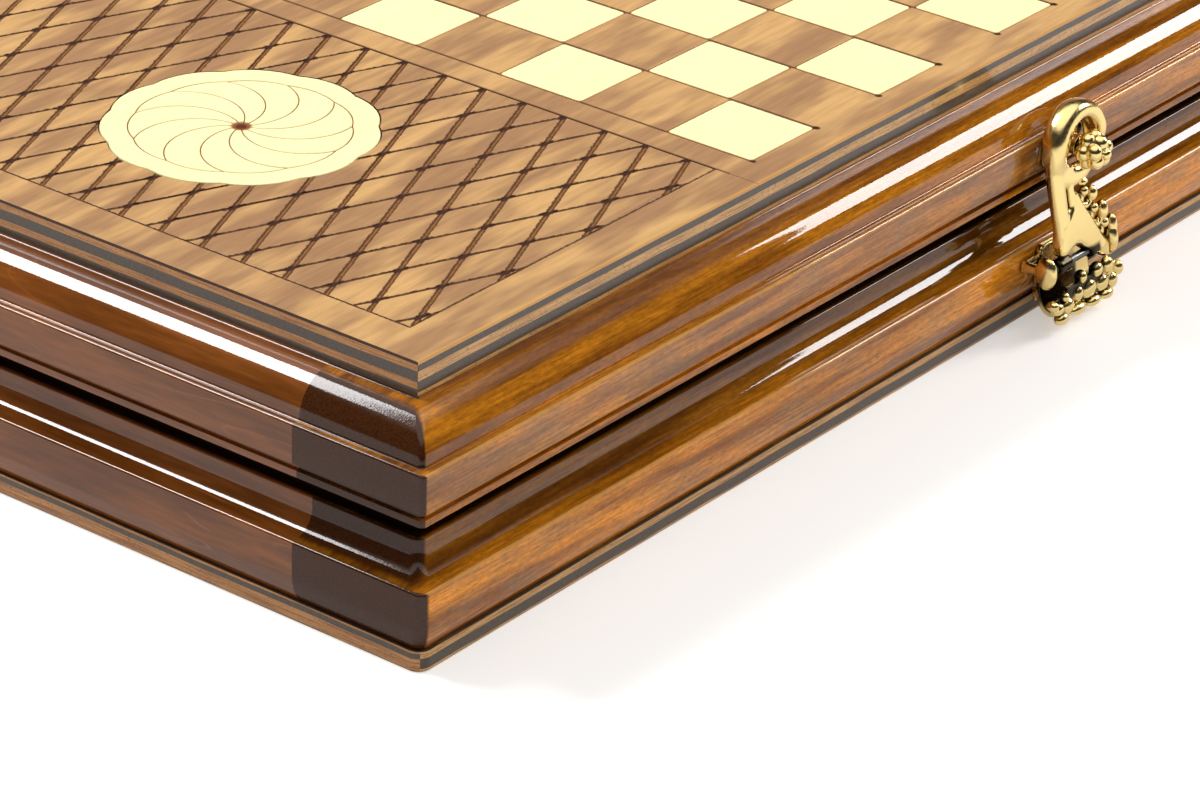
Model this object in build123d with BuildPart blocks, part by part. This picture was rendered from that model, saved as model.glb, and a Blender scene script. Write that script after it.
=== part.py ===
from build123d import *
import os
from math import atan2, cos, hypot, radians, sin

# Folding backgammon case, closed, in millimetres.
# The origin is the middle of the underside. +X runs along the hinge side, +Y points to the
# hinges, -Y to the clasp, and +Z is up. The chess squares fill the lid's width, 8 to a side.

# Case
case_length = 500.0
case_width = 250.0
case_height = 70.0
rail_width = 38.0
rail_edge_round = 1.2

# Lid boards, from the outside in
veneer_thickness = 0.8
lid_panel_thickness = 8.2
lid_field_thickness = 1.6
moulding_reach = 12.5

# Moulding of the lid rails
ledge_width = 2.4
ledge_round = 0.7
lid_band_height = 10.0
lip_inset = 1.5
lip_rise = 1.7
joint_inset = 10.0

# Moulding of the base rails
strip_inset = 6.9
base_rim_height = 29.8
base_rim_round = 0.6
shelf_height = 21.2
shelf_round = 0.6
base_band_foot = 12.8
base_foot_inset = 2.5

# Base boards
base_panel_thickness = 6.5
base_panel_inset = 1.5

# Chess board and end panels on the lid
squares_a_side = 8
chess_margin = 8.5
inlay_outline = 0.4
chess_border = 9.2
medallion_radius = 33.9
medallion_scallop = 1.1
medallion_lobes = 11
medallion_turn = -15.7
lattice_border = 11.9
inlay_clearance = 0.1

# Playing fields
points_a_side = 6
point_length = 172.0
point_gap = 2.0
point_thickness = 0.8
field_clearance = 0.3

# Checkers and dice
checkers_across = 5
checkers_along = 3
checker_diameter = 28.0
checker_thickness = 9.0
checker_gap = 1.0
checker_rim = 3.0
checker_dish = 1.0
checker_round = 1.2
checker_end_gap = 14.0
die_size = 12.0
die_round = 1.4
die_pip_radius = 1.0
die_spacing = 24.0
die_setback = 14.0

# Butt hinges, let into the meeting faces of the back rails
hinge_inset = 100.0
hinge_length = 50.0
hinge_knuckles = 5
knuckle_gap = 0.3
barrel_radius = 3.0
hinge_pin_radius = 1.2
pin_clearance = 0.05
leaf_thickness = 1.4
leaf_gap = 0.15
leaf_depth = 24.0
hinge_standoff = 0.3

# Wood screws
screw_shank_radius = 1.3
screw_head_radius = 2.4
screw_length = 12.0
screw_clearance = 0.05
hinge_screw_spacing = 17.0

# Clasp on the middle of the front
clasp_pin_height = 17.0
clasp_pin_standoff = 7.8
clasp_pin_radius = 1.1
arm_standoff = 4.0
arm_thickness = 4.2
arm_ring_radius = 9.9
arm_eye_radius = 6.3
arm_knuckle_radius = 2.9
arm_leg_inner = 4.5
arm_leg_outer = 10.0
arm_arch_rise = 4.4
arm_strap_waist = 8.9
arm_waist_x = 1.1
arm_shoulder_x = 11.6
arm_shoulder_rise = 7.0
arm_lobe_count = 3
arm_lobe_radius = 2.4
arm_lobe_growth = 0.2
arm_lobe_start = 0.7
arm_lobe_reach = 1.2
arm_lobe_lift = 0.6
ear_radius = 4.4
ear_thickness = 2.4
ear_gap = 2.6
clasp_wall = 2.2
clasp_plate_top = 20.4
trough_top = 12.4
trough_floor = 2.0
trough_width = 12.6
boss_width = 33.0
boss_lobe_count = 5
keeper_plate_width = 17.0
keeper_plate_height = 8.4
keeper_plate_thickness = 1.2
keeper_ball_radius = 5.6
keeper_neck_radius = 2.8
keeper_ball_standoff = 9.7
keeper_rise = 1.9
small_screw_head_radius = 1.5
small_screw_shank_radius = 0.8
small_screw_length = 8.0
keeper_screw_spacing = 13.0
clasp_screw_spacing = 16.0

# Heights worked out from the sizes above
joint_height = case_height / 2
veneer_foot = case_height - veneer_thickness
rail_top = veneer_foot - lid_panel_thickness
ledge_height = rail_top - (moulding_reach - ledge_width)
lid_band_foot = ledge_height - lid_band_height
lid_field_foot = rail_top - lid_field_thickness
base_floor = case_height - lid_field_foot
base_field_thickness = base_floor - base_panel_thickness

# Plan sizes worked out from the sizes above
panel_length = case_length - 2 * moulding_reach
panel_width = case_width - 2 * moulding_reach
tray_length = case_length - 2 * rail_width
tray_width = case_width - 2 * rail_width
board_side = panel_width - 2 * chess_margin
square_pitch = board_side / squares_a_side
chess_sheet_length = board_side + 2 * chess_border
light_square = square_pitch - 2 * inlay_outline
medallion_x = (chess_sheet_length / 2 + panel_length / 2 - lattice_border) / 2
point_pitch = tray_width / points_a_side
front_face = -case_width / 2
hinge_axis_y = case_width / 2 + hinge_standoff

os.makedirs("parts", exist_ok=True)


def save(part, name):
    """Label a finished piece and write its file."""
    part.label = name
    export_step(part, f"parts/{name}.step")
    print(f"{name}: {len(part.solids())} solids, {part.volume / 1000:.2f} cm3")


def lid_outline(half):
    """Right half of the lid frame's section, from the joint up: lip, band, ledge, roundover."""
    roundover = moulding_reach - ledge_width
    Polyline(
        (0, joint_height),
        (half - joint_inset, joint_height),
        (half - joint_inset, joint_height + lip_rise),
        (half - lip_inset, joint_height + lip_rise),
        (half - lip_inset, lid_band_foot),
        (half, lid_band_foot),
        (half, ledge_height - ledge_round),
    )
    CenterArc((half - ledge_round, ledge_height - ledge_round), ledge_round, 0, 90)
    Line((half - ledge_round, ledge_height), (half - ledge_width, ledge_height))
    CenterArc((half - moulding_reach, ledge_height), roundover, 0, 90)
    Line((half - moulding_reach, rail_top), (0, rail_top))


def base_outline(half):
    """Right half of the base frame's section: foot, band, cove, strip, rim, joint."""
    strip = half - strip_inset
    cove = strip_inset - shelf_round
    Line((0, base_panel_thickness), (half - base_foot_inset, base_panel_thickness))
    foot = (half - base_foot_inset, base_panel_thickness)
    TangentArc((half, base_band_foot), foot, tangent=(0, -1))
    Line((half, base_band_foot), (half, shelf_height - shelf_round))
    CenterArc((half - shelf_round, shelf_height - shelf_round), shelf_round, 0, 90)
    CenterArc((strip + cove, shelf_height + cove), cove, 270, -90)
    Line((strip, shelf_height + cove), (strip, base_rim_height - base_rim_round))
    CenterArc((strip - base_rim_round, base_rim_height - base_rim_round), base_rim_round, 0, 90)
    Polyline(
        (strip - base_rim_round, base_rim_height),
        (half - joint_inset, base_rim_height),
        (half - joint_inset, joint_height),
        (0, joint_height),
    )


def moulded_block(outline):
    """A solid block that has the same moulding on all four sides, mitred at its corners."""
    with BuildPart() as block:
        with BuildSketch(Plane.YZ):
            with BuildLine():
                outline(case_width / 2)
                mirror(about=Plane.YZ)
            make_face()
        extrude(amount=case_length / 2, both=True)
        with BuildSketch(Plane.XZ):
            with BuildLine():
                outline(case_length / 2)
                mirror(about=Plane.YZ)
            make_face()
        extrude(amount=case_width / 2, both=True, mode=Mode.INTERSECT)
    return block.part


def long_rail(block, side):
    """Front or back rail, which runs the case's whole length and shows its end grain."""
    with BuildPart() as rail:
        add(block)
        with Locations((0, side * (case_width - rail_width) / 2, case_height / 2)):
            Box(case_length, rail_width, case_height, mode=Mode.INTERSECT)
        inner = rail.faces().filter_by(Axis.Y).sort_by(Axis.Y)[0 if side > 0 else -1]
        meeting = inner.edges().filter_by(Axis.X).sort_by(lambda e: abs(e.center().Z - joint_height))
        fillet(meeting[0], rail_edge_round)
    return rail.part


def end_rail(block, side):
    """Left or right rail, which stands between the two long ones."""
    with BuildPart() as rail:
        add(block)
        with Locations((side * (case_length - rail_width) / 2, 0, case_height / 2)):
            Box(rail_width, tray_width, case_height, mode=Mode.INTERSECT)
        inner = rail.faces().filter_by(Axis.X).sort_by(Axis.X)[0 if side > 0 else -1]
        meeting = inner.edges().filter_by(Axis.Y).sort_by(lambda e: abs(e.center().Z - joint_height))
        fillet(meeting[0], rail_edge_round)
    return rail.part


def screw(head_radius, shank_radius, length):
    """Countersunk wood screw with its head's flat top at the origin, pointing down."""
    head = head_radius - shank_radius
    with BuildPart() as one:
        with BuildSketch(Plane.XZ):
            with BuildLine():
                Polyline(
                    (0, 0),
                    (head_radius, 0),
                    (shank_radius, -head),
                    (shank_radius, shank_radius - length),
                    (0, -length),
                    close=True,
                )
            make_face()
        revolve(axis=Axis.Z)
    return one.part


def screw_set(places, head_radius, shank_radius, length):
    """Alike screws, one at each place."""
    with BuildPart() as group:
        with Locations(*places):
            add(screw(head_radius, shank_radius, length))
    return group.part


def cut_screw_holes(places, head_radius, shank_radius, length):
    """Holes for countersunk screws, cut inside the block of the part that they go through."""
    head = head_radius - shank_radius
    top = (Align.CENTER, Align.CENTER, Align.MAX)
    hole = shank_radius + screw_clearance
    with Locations(*places):
        Cylinder(hole, length + screw_clearance, align=top, mode=Mode.SUBTRACT)
        Cone(hole, head_radius + screw_clearance, head, align=top, mode=Mode.SUBTRACT)


hinge_screw = (screw_head_radius, screw_shank_radius, screw_length)
small_screw = (small_screw_head_radius, small_screw_shank_radius, small_screw_length)
hinge_places = [hinge_inset - case_length / 2, case_length / 2 - hinge_inset]
leaf_middle_y = hinge_axis_y - barrel_radius - leaf_depth / 2
leaf_seat = leaf_thickness + leaf_gap
barrel_seat = barrel_radius + knuckle_gap


def hinge_screw_places(facing):
    """Where the hinge screws' heads lie: facing is 1 for the base leaf and -1 for the lid's."""
    places = []
    for hinge_x in hinge_places:
        for step in (-1, 0, 1):
            shift = hinge_x + step * hinge_screw_spacing
            spot = Vector(shift, leaf_middle_y, joint_height - facing * leaf_gap)
            turn = (0, 0, 0) if facing > 0 else (180, 0, 0)
            places.append(Location(spot, turn))
    return places


def cut_leaf_seats(rail, facing):
    """Back rail with its mortises for the hinge leaves and barrels and its screw holes."""
    with BuildPart() as seated:
        add(rail)
        for hinge_x in hinge_places:
            with Locations((hinge_x, hinge_axis_y - barrel_radius, joint_height)):
                Box(hinge_length, 2 * leaf_depth, 2 * leaf_seat, mode=Mode.SUBTRACT)
            with Locations((hinge_x, hinge_axis_y, joint_height)):
                Box(hinge_length, 2 * barrel_seat, 2 * barrel_seat, mode=Mode.SUBTRACT)
        cut_screw_holes(hinge_screw_places(facing), *hinge_screw)
    return seated.part


def hinge_leaves(facing):
    """Leaves of both hinges for one half of the case: plate, tabs and knuckles."""
    knuckle = hinge_length / hinge_knuckles
    first = 0 if facing > 0 else 1
    plate_height = joint_height - facing * (leaf_gap + leaf_thickness / 2)
    plate_edge = hinge_axis_y - barrel_radius - knuckle_gap
    plate_depth = leaf_depth - knuckle_gap
    with BuildPart() as leaves:
        for hinge_x in hinge_places:
            with Locations((hinge_x, plate_edge - plate_depth / 2, plate_height)):
                Box(hinge_length, plate_depth, leaf_thickness)
            for index in range(first, hinge_knuckles, 2):
                middle = hinge_x + (index + 0.5) * knuckle - hinge_length / 2
                width = knuckle - knuckle_gap
                tab = barrel_radius + knuckle_gap
                with Locations((middle, hinge_axis_y - tab / 2, plate_height)):
                    Box(width, tab, leaf_thickness)
                with Locations(Location((middle, hinge_axis_y, joint_height), (0, 90, 0))):
                    Cylinder(barrel_radius, width)
        for hinge_x in hinge_places:
            with Locations(Location((hinge_x, hinge_axis_y, joint_height), (0, 90, 0))):
                Cylinder(hinge_pin_radius + pin_clearance, hinge_length, mode=Mode.SUBTRACT)
        cut_screw_holes(hinge_screw_places(facing), *hinge_screw)
    return leaves.part


def clasp_screw_places(spacing, height, reach):
    """Two places on the front, side by side, for screws that point into the rail."""
    turn = (90, 0, 0)
    return [Location((step * spacing / 2, front_face - reach, height), turn) for step in (-1, 1)]


def drill_front(rail, places):
    """Front rail with its holes for a clasp plate's screws."""
    with BuildPart() as drilled:
        add(rail)
        cut_screw_holes(places, *small_screw)
    return drilled.part


# Screws that hold the clasp's two plates
lid_band_middle = (lid_band_foot + ledge_height) / 2
plate_middle = (trough_top + clasp_plate_top) / 2
keeper_screws = clasp_screw_places(keeper_screw_spacing, lid_band_middle, keeper_plate_thickness)
clasp_screws = clasp_screw_places(clasp_screw_spacing, plate_middle, clasp_wall)

# Rails of the lid
lid_block = moulded_block(lid_outline)
save(drill_front(long_rail(lid_block, -1), keeper_screws), "lid_front_rail")
save(cut_leaf_seats(long_rail(lid_block, 1), -1), "lid_back_rail")
save(end_rail(lid_block, -1), "lid_left_rail")
save(end_rail(lid_block, 1), "lid_right_rail")

# Rails of the base
base_block = moulded_block(base_outline)
save(drill_front(long_rail(base_block, -1), clasp_screws), "base_front_rail")
save(cut_leaf_seats(long_rail(base_block, 1), 1), "base_back_rail")
save(end_rail(base_block, -1), "base_left_rail")
save(end_rail(base_block, 1), "base_right_rail")

# Plywood boards that close the lid and the base
with BuildPart() as lid_panel:
    with BuildSketch(Plane.XY.offset(rail_top)):
        Rectangle(panel_length, panel_width)
    extrude(amount=lid_panel_thickness)
save(lid_panel.part, "lid_panel")

with BuildPart() as base_panel:
    with BuildSketch(Plane.XY):
        Rectangle(case_length - 2 * base_panel_inset, case_width - 2 * base_panel_inset)
    extrude(amount=base_panel_thickness)
save(base_panel.part, "base_panel")


def medallion_face(radius):
    """Round face whose edge is a ring of shallow scallops."""
    step = 360 / medallion_lobes
    dent = radius - medallion_scallop
    with BuildSketch() as face:
        with BuildLine():
            for lobe in range(medallion_lobes):
                start = medallion_turn + lobe * step
                spots = [(dent, start), (radius, start + step / 2), (dent, start + step)]
                ThreePointArc(*[(r * cos(radians(a)), r * sin(radians(a))) for r, a in spots])
        make_face()
    return face.sketch


def light_square_faces():
    """The board's light squares; the near left corner square is one of them."""
    grid = (2 * square_pitch, 2 * square_pitch, squares_a_side // 2, squares_a_side // 2)
    with BuildSketch() as faces:
        for shift in (-square_pitch / 2, square_pitch / 2):
            with Locations((shift, shift)):
                with GridLocations(*grid):
                    Rectangle(light_square, light_square)
    return faces.sketch


# Veneered skin of the lid: a chess sheet in the middle and a lattice sheet at each end
with BuildPart() as lid_chess_veneer:
    with BuildSketch(Plane.XY.offset(veneer_foot)):
        Rectangle(chess_sheet_length, panel_width)
        add(light_square_faces(), mode=Mode.SUBTRACT)
    extrude(amount=veneer_thickness)
save(lid_chess_veneer.part, "lid_chess_veneer")

with BuildPart() as chess_light_squares:
    with BuildSketch(Plane.XY.offset(veneer_foot)):
        add(light_square_faces())
    extrude(amount=veneer_thickness)
save(chess_light_squares.part, "chess_light_squares")

lattice_length = (panel_length - chess_sheet_length) / 2
lattice_middle = (panel_length + chess_sheet_length) / 4
for side, word in ((-1, "left"), (1, "right")):
    with BuildPart() as lattice_veneer:
        with BuildSketch(Plane.XY.offset(veneer_foot)):
            with Locations((side * lattice_middle, 0)):
                Rectangle(lattice_length, panel_width)
            with Locations((side * medallion_x, 0)):
                add(medallion_face(medallion_radius + inlay_clearance), mode=Mode.SUBTRACT)
        extrude(amount=veneer_thickness)
    save(lattice_veneer.part, f"lid_lattice_veneer_{word}")

    with BuildPart() as medallion:
        with BuildSketch(Plane.XY.offset(veneer_foot)):
            with Locations((side * medallion_x, 0)):
                add(medallion_face(medallion_radius))
        extrude(amount=veneer_thickness)
    save(medallion.part, f"medallion_{word}")


def point_faces(shade):
    """The points of one shade in one tray: tapering darts that start at both short ends."""
    base_half = (point_pitch - point_gap) / 2
    start = tray_length / 2 - field_clearance
    with BuildSketch() as faces:
        for end in (-1, 1):
            for index in range(points_a_side):
                if (index + shade + (end > 0)) % 2 == 0:
                    middle = (index + 0.5) * point_pitch - tray_width / 2
                    with BuildLine():
                        Polyline(
                            (end * start, middle - base_half),
                            (end * start, middle + base_half),
                            (end * (start - point_length), middle),
                            close=True,
                        )
                    make_face()
    return faces.sketch


def playing_field(foot, thickness, inlay_foot):
    """Board inside a tray, with its points' recesses on one side."""
    with BuildPart() as field:
        with BuildSketch(Plane.XY.offset(foot)):
            Rectangle(tray_length - 2 * field_clearance, tray_width - 2 * field_clearance)
        extrude(amount=thickness)
        with BuildSketch(Plane.XY.offset(inlay_foot)):
            add(point_faces(0))
            add(point_faces(1))
        extrude(amount=point_thickness, mode=Mode.SUBTRACT)
    return field.part


def point_inlays(shade, inlay_foot):
    """Veneer points that fill the recesses of one shade."""
    with BuildPart() as inlays:
        with BuildSketch(Plane.XY.offset(inlay_foot)):
            add(point_faces(shade))
        extrude(amount=point_thickness)
    return inlays.part


base_inlay_foot = base_floor - point_thickness
save(playing_field(lid_field_foot, lid_field_thickness, lid_field_foot), "lid_playing_field")
save(point_inlays(0, lid_field_foot), "lid_light_points")
save(point_inlays(1, lid_field_foot), "lid_dark_points")
save(
    playing_field(base_panel_thickness, base_field_thickness, base_inlay_foot),
    "base_playing_field",
)
save(point_inlays(0, base_inlay_foot), "base_light_points")
save(point_inlays(1, base_inlay_foot), "base_dark_points")


def checker():
    """Turned disc with a raised rim and a shallow dish on both faces."""
    radius = checker_diameter / 2
    dish = radius - checker_rim
    with BuildPart() as disc:
        Cylinder(radius, checker_thickness, align=(Align.CENTER, Align.CENTER, Align.MIN))
        fillet(disc.edges().filter_by(GeomType.CIRCLE), checker_round)
        for height, side in ((0, Align.MIN), (checker_thickness, Align.MAX)):
            with Locations((0, 0, height)):
                Cylinder(
                    dish,
                    checker_dish,
                    align=(Align.CENTER, Align.CENTER, side),
                    mode=Mode.SUBTRACT,
                )
    return disc.part


# Checkers, laid on the base's field in one block for each shade
checker_step = checker_diameter + checker_gap
checker_block = checkers_along * checker_step - checker_gap
checker_x = tray_length / 2 - checker_end_gap - checker_block / 2
for side, word in ((-1, "light"), (1, "dark")):
    with BuildPart() as checkers:
        with Locations((side * checker_x, 0, base_floor)):
            with GridLocations(checker_step, checker_step, checkers_along, checkers_across):
                add(checker())
    save(checkers.part, f"{word}_checkers")


def pip_spots(count):
    """Places of the pips on one face of a die, in quarters of its size."""
    spots = {
        1: [(0, 0)],
        2: [(-1, -1), (1, 1)],
        3: [(-1, -1), (0, 0), (1, 1)],
        4: [(-1, -1), (-1, 1), (1, -1), (1, 1)],
        5: [(-1, -1), (-1, 1), (0, 0), (1, -1), (1, 1)],
        6: [(-1, -1), (-1, 0), (-1, 1), (1, -1), (1, 0), (1, 1)],
    }
    return [(u * die_size / 4, v * die_size / 4) for u, v in spots[count]]


def die():
    """Cube with rounded edges and a dimple for each pip; opposite faces add up to seven."""
    half = die_size / 2
    faces = {1: Plane.XY, 6: -Plane.XY, 2: Plane.XZ, 5: -Plane.XZ, 3: Plane.YZ, 4: -Plane.YZ}
    with BuildPart() as cube:
        Box(die_size, die_size, die_size)
        fillet(cube.edges(), die_round)
        for count, plane in faces.items():
            with Locations(plane.offset(half + die_pip_radius / 2)):
                with Locations(*pip_spots(count)):
                    Sphere(die_pip_radius, mode=Mode.SUBTRACT)
    return cube.part


with BuildPart() as dice:
    with Locations((0, die_setback - tray_width / 2, base_floor + die_size / 2)):
        with GridLocations(die_spacing, die_spacing, 2, 1):
            add(die())
save(dice.part, "dice")

# Hinges
save(hinge_leaves(-1), "lid_hinge_leaves")
save(hinge_leaves(1), "base_hinge_leaves")
save(screw_set(hinge_screw_places(-1), *hinge_screw), "lid_hinge_screws")
save(screw_set(hinge_screw_places(1), *hinge_screw), "base_hinge_screws")

with BuildPart() as hinge_pins:
    for hinge_x in hinge_places:
        with Locations(Location((hinge_x, hinge_axis_y, joint_height), (0, 90, 0))):
            Cylinder(hinge_pin_radius, hinge_length)
save(hinge_pins.part, "hinge_pins")

# Clasp pin, and the plane of its arm, which leans in so that the eye rests near the band
pin_y = front_face - clasp_pin_standoff
pin_half = arm_leg_outer + ear_gap + ear_thickness
keeper_height = lid_band_middle + keeper_rise
arm_rise = keeper_height - clasp_pin_height
lean = atan2(clasp_pin_standoff - arm_standoff, arm_rise)
arm_reach = hypot(clasp_pin_standoff - arm_standoff, arm_rise)
arm_plane = Plane(
    origin=(0, pin_y, clasp_pin_height),
    x_dir=(1, 0, 0),
    z_dir=(0, -cos(lean), sin(lean)),
)

with BuildPart() as clasp_pin:
    with Locations(Location((0, pin_y, clasp_pin_height), (0, 90, 0))):
        Cylinder(clasp_pin_radius, 2 * pin_half)
save(clasp_pin.part, "clasp_pin")

# Arm: an eye that drops over the keeper's knob, a smooth strap down the left, a body that
# flares to the right with lobes along its edge, and two legs with knuckles round the pin
waist = (arm_waist_x, arm_reach - arm_ring_radius)
shoulder = (arm_shoulder_x, arm_shoulder_rise)
with BuildPart() as clasp_arm:
    with BuildSketch(arm_plane):
        with BuildLine():
            Spline((-arm_ring_radius, arm_reach), (-arm_strap_waist, waist[1]), (-arm_leg_outer, 0))
            Line((-arm_leg_outer, 0), (-arm_leg_inner, 0))
            ThreePointArc((-arm_leg_inner, 0), (0, arm_arch_rise), (arm_leg_inner, 0))
            Polyline(
                (arm_leg_inner, 0),
                (arm_leg_outer, 0),
                (arm_leg_outer, arm_arch_rise),
                shoulder,
                waist,
                (0, arm_reach),
                (-arm_ring_radius, arm_reach),
            )
        make_face()
        for index in range(arm_lobe_count):
            radius = arm_lobe_radius + index * arm_lobe_growth
            share = (index + arm_lobe_start) / arm_lobe_count
            lobe_x = waist[0] + share * (shoulder[0] - waist[0]) + arm_lobe_reach
            lobe_y = waist[1] + share * (shoulder[1] - waist[1]) + arm_lobe_lift
            with Locations((lobe_x, lobe_y)):
                Circle(radius)
        with Locations((0, arm_reach)):
            Circle(arm_ring_radius)
            Circle(arm_eye_radius, mode=Mode.SUBTRACT)
    extrude(amount=arm_thickness / 2, both=True)
    leg_middle = (arm_leg_inner + arm_leg_outer) / 2
    for side in (-1, 1):
        with Locations(Location((side * leg_middle, pin_y, clasp_pin_height), (0, 90, 0))):
            Cylinder(arm_knuckle_radius, arm_leg_outer - arm_leg_inner)
    with Locations(Location((0, pin_y, clasp_pin_height), (0, 90, 0))):
        Cylinder(clasp_pin_radius + pin_clearance, 2 * pin_half, mode=Mode.SUBTRACT)
save(clasp_arm.part, "clasp_arm")


def trough_section(front):
    """Half of the base plate's trough in side view: the front wall, or the back one."""
    middle = front_face - trough_width / 2
    depth = trough_top - trough_floor
    cut_side = Align.MIN if front else Align.MAX
    with BuildSketch() as half:
        with Locations((middle, trough_top)):
            Ellipse(trough_width / 2, depth)
            Ellipse(trough_width / 2 - clasp_wall, depth - clasp_wall, mode=Mode.SUBTRACT)
            Rectangle(trough_width, depth, align=(Align.CENTER, Align.MIN), mode=Mode.SUBTRACT)
            Rectangle(
                trough_width,
                2 * depth,
                align=(cut_side, Align.CENTER),
                mode=Mode.SUBTRACT,
            )
    return half.sketch


# Front wall of the trough, cut to a row of lobes
with BuildPart() as boss:
    with BuildSketch(Plane.YZ):
        add(trough_section(front=True))
    extrude(amount=boss_width / 2, both=True)
    lobe_radius = (trough_top - trough_floor) / 2
    lobe_step = (boss_width - 2 * lobe_radius) / (boss_lobe_count - 1)
    with BuildSketch(Plane.XZ):
        with Locations((0, trough_floor + lobe_radius)):
            with GridLocations(lobe_step, lobe_step, boss_lobe_count, 1):
                Circle(lobe_radius)
    extrude(amount=case_width, mode=Mode.INTERSECT)

# Base plate of the clasp: a plate on the rail's band, the trough, and two ears for the pin
with BuildPart() as clasp_base:
    with BuildSketch(Plane.YZ):
        add(trough_section(front=False))
        with Locations((front_face, trough_top)):
            Rectangle(clasp_wall, clasp_plate_top - trough_top, align=(Align.MAX, Align.MIN))
    extrude(amount=pin_half, both=True)
    add(boss.part)
    for side in (-1, 1):
        with BuildSketch(Plane.YZ.offset(side * (pin_half - ear_thickness / 2))):
            with Locations((pin_y, clasp_pin_height)):
                Circle(ear_radius)
            with Locations((front_face, trough_top)):
                Rectangle(
                    clasp_pin_standoff,
                    clasp_plate_top - trough_top,
                    align=(Align.MAX, Align.MIN),
                )
        extrude(amount=ear_thickness / 2, both=True)
    with Locations(Location((0, pin_y, clasp_pin_height), (0, 90, 0))):
        Cylinder(clasp_pin_radius, 2 * pin_half, mode=Mode.SUBTRACT)
    cut_screw_holes(clasp_screws, *small_screw)
save(clasp_base.part, "clasp_base")

# Keeper: a plate on the lid's band with a round knob on a neck
with BuildPart() as clasp_keeper:
    with Locations((0, front_face - keeper_plate_thickness / 2, lid_band_middle)):
        Box(keeper_plate_width, keeper_plate_thickness, keeper_plate_height)
    with Locations(Location((0, front_face, keeper_height), (90, 0, 0))):
        Cylinder(
            keeper_neck_radius,
            keeper_ball_standoff,
            align=(Align.CENTER, Align.CENTER, Align.MIN),
        )
    with Locations((0, front_face - keeper_ball_standoff, keeper_height)):
        Sphere(keeper_ball_radius)
    cut_screw_holes(keeper_screws, *small_screw)
save(clasp_keeper.part, "clasp_keeper")

save(screw_set(keeper_screws, *small_screw), "keeper_screws")
save(screw_set(clasp_screws, *small_screw), "clasp_base_screws")
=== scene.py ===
import math

import bmesh
import bpy
import numpy as np
from mathutils import Matrix, Vector


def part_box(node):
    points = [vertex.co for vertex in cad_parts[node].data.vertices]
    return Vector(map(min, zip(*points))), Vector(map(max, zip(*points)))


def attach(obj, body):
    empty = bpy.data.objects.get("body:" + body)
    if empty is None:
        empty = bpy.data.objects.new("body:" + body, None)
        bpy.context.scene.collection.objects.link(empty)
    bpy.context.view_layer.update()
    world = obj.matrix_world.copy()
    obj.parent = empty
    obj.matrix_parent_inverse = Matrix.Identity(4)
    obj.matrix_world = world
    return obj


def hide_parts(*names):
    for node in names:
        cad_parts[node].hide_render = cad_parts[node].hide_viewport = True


bl_info = {
    "name": "Folding backgammon case",
    "version": (1, 0, 0),
    "blender": (4, 5, 0),
    "location": "3D View > Sidebar > Case",
    "description": "Dresses the packed case: moulded rails, inlaid lid, brass clasp and studio",
    "category": "Object",
}

MM = 0.001
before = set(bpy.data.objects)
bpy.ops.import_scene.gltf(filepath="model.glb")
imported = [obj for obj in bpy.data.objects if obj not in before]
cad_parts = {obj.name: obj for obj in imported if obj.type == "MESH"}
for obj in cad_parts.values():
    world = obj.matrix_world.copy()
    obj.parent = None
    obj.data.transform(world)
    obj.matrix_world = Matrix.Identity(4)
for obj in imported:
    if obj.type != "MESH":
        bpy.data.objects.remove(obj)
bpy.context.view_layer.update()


def linear(code):
    """Scene-linear colour of an sRGB hex code."""
    parts = [int(code[i : i + 2], 16) / 255 for i in (0, 2, 4)]
    return [p / 12.92 if p <= 0.04045 else ((p + 0.055) / 1.055) ** 2.4 for p in parts] + [1.0]


def length(name, description, size):
    """Length property, written in millimetres and kept in metres."""
    return bpy.props.FloatProperty(
        name=name, description=description, default=size * MM, subtype="DISTANCE", unit="LENGTH"
    )


def number(name, description, value):
    """Plain number property."""
    return bpy.props.FloatProperty(name=name, description=description, default=value)


def tone(name, description, code):
    """Colour property, written as an sRGB hex code."""
    return bpy.props.FloatVectorProperty(
        name=name, description=description, default=linear(code), size=4, subtype="COLOR"
    )


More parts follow.
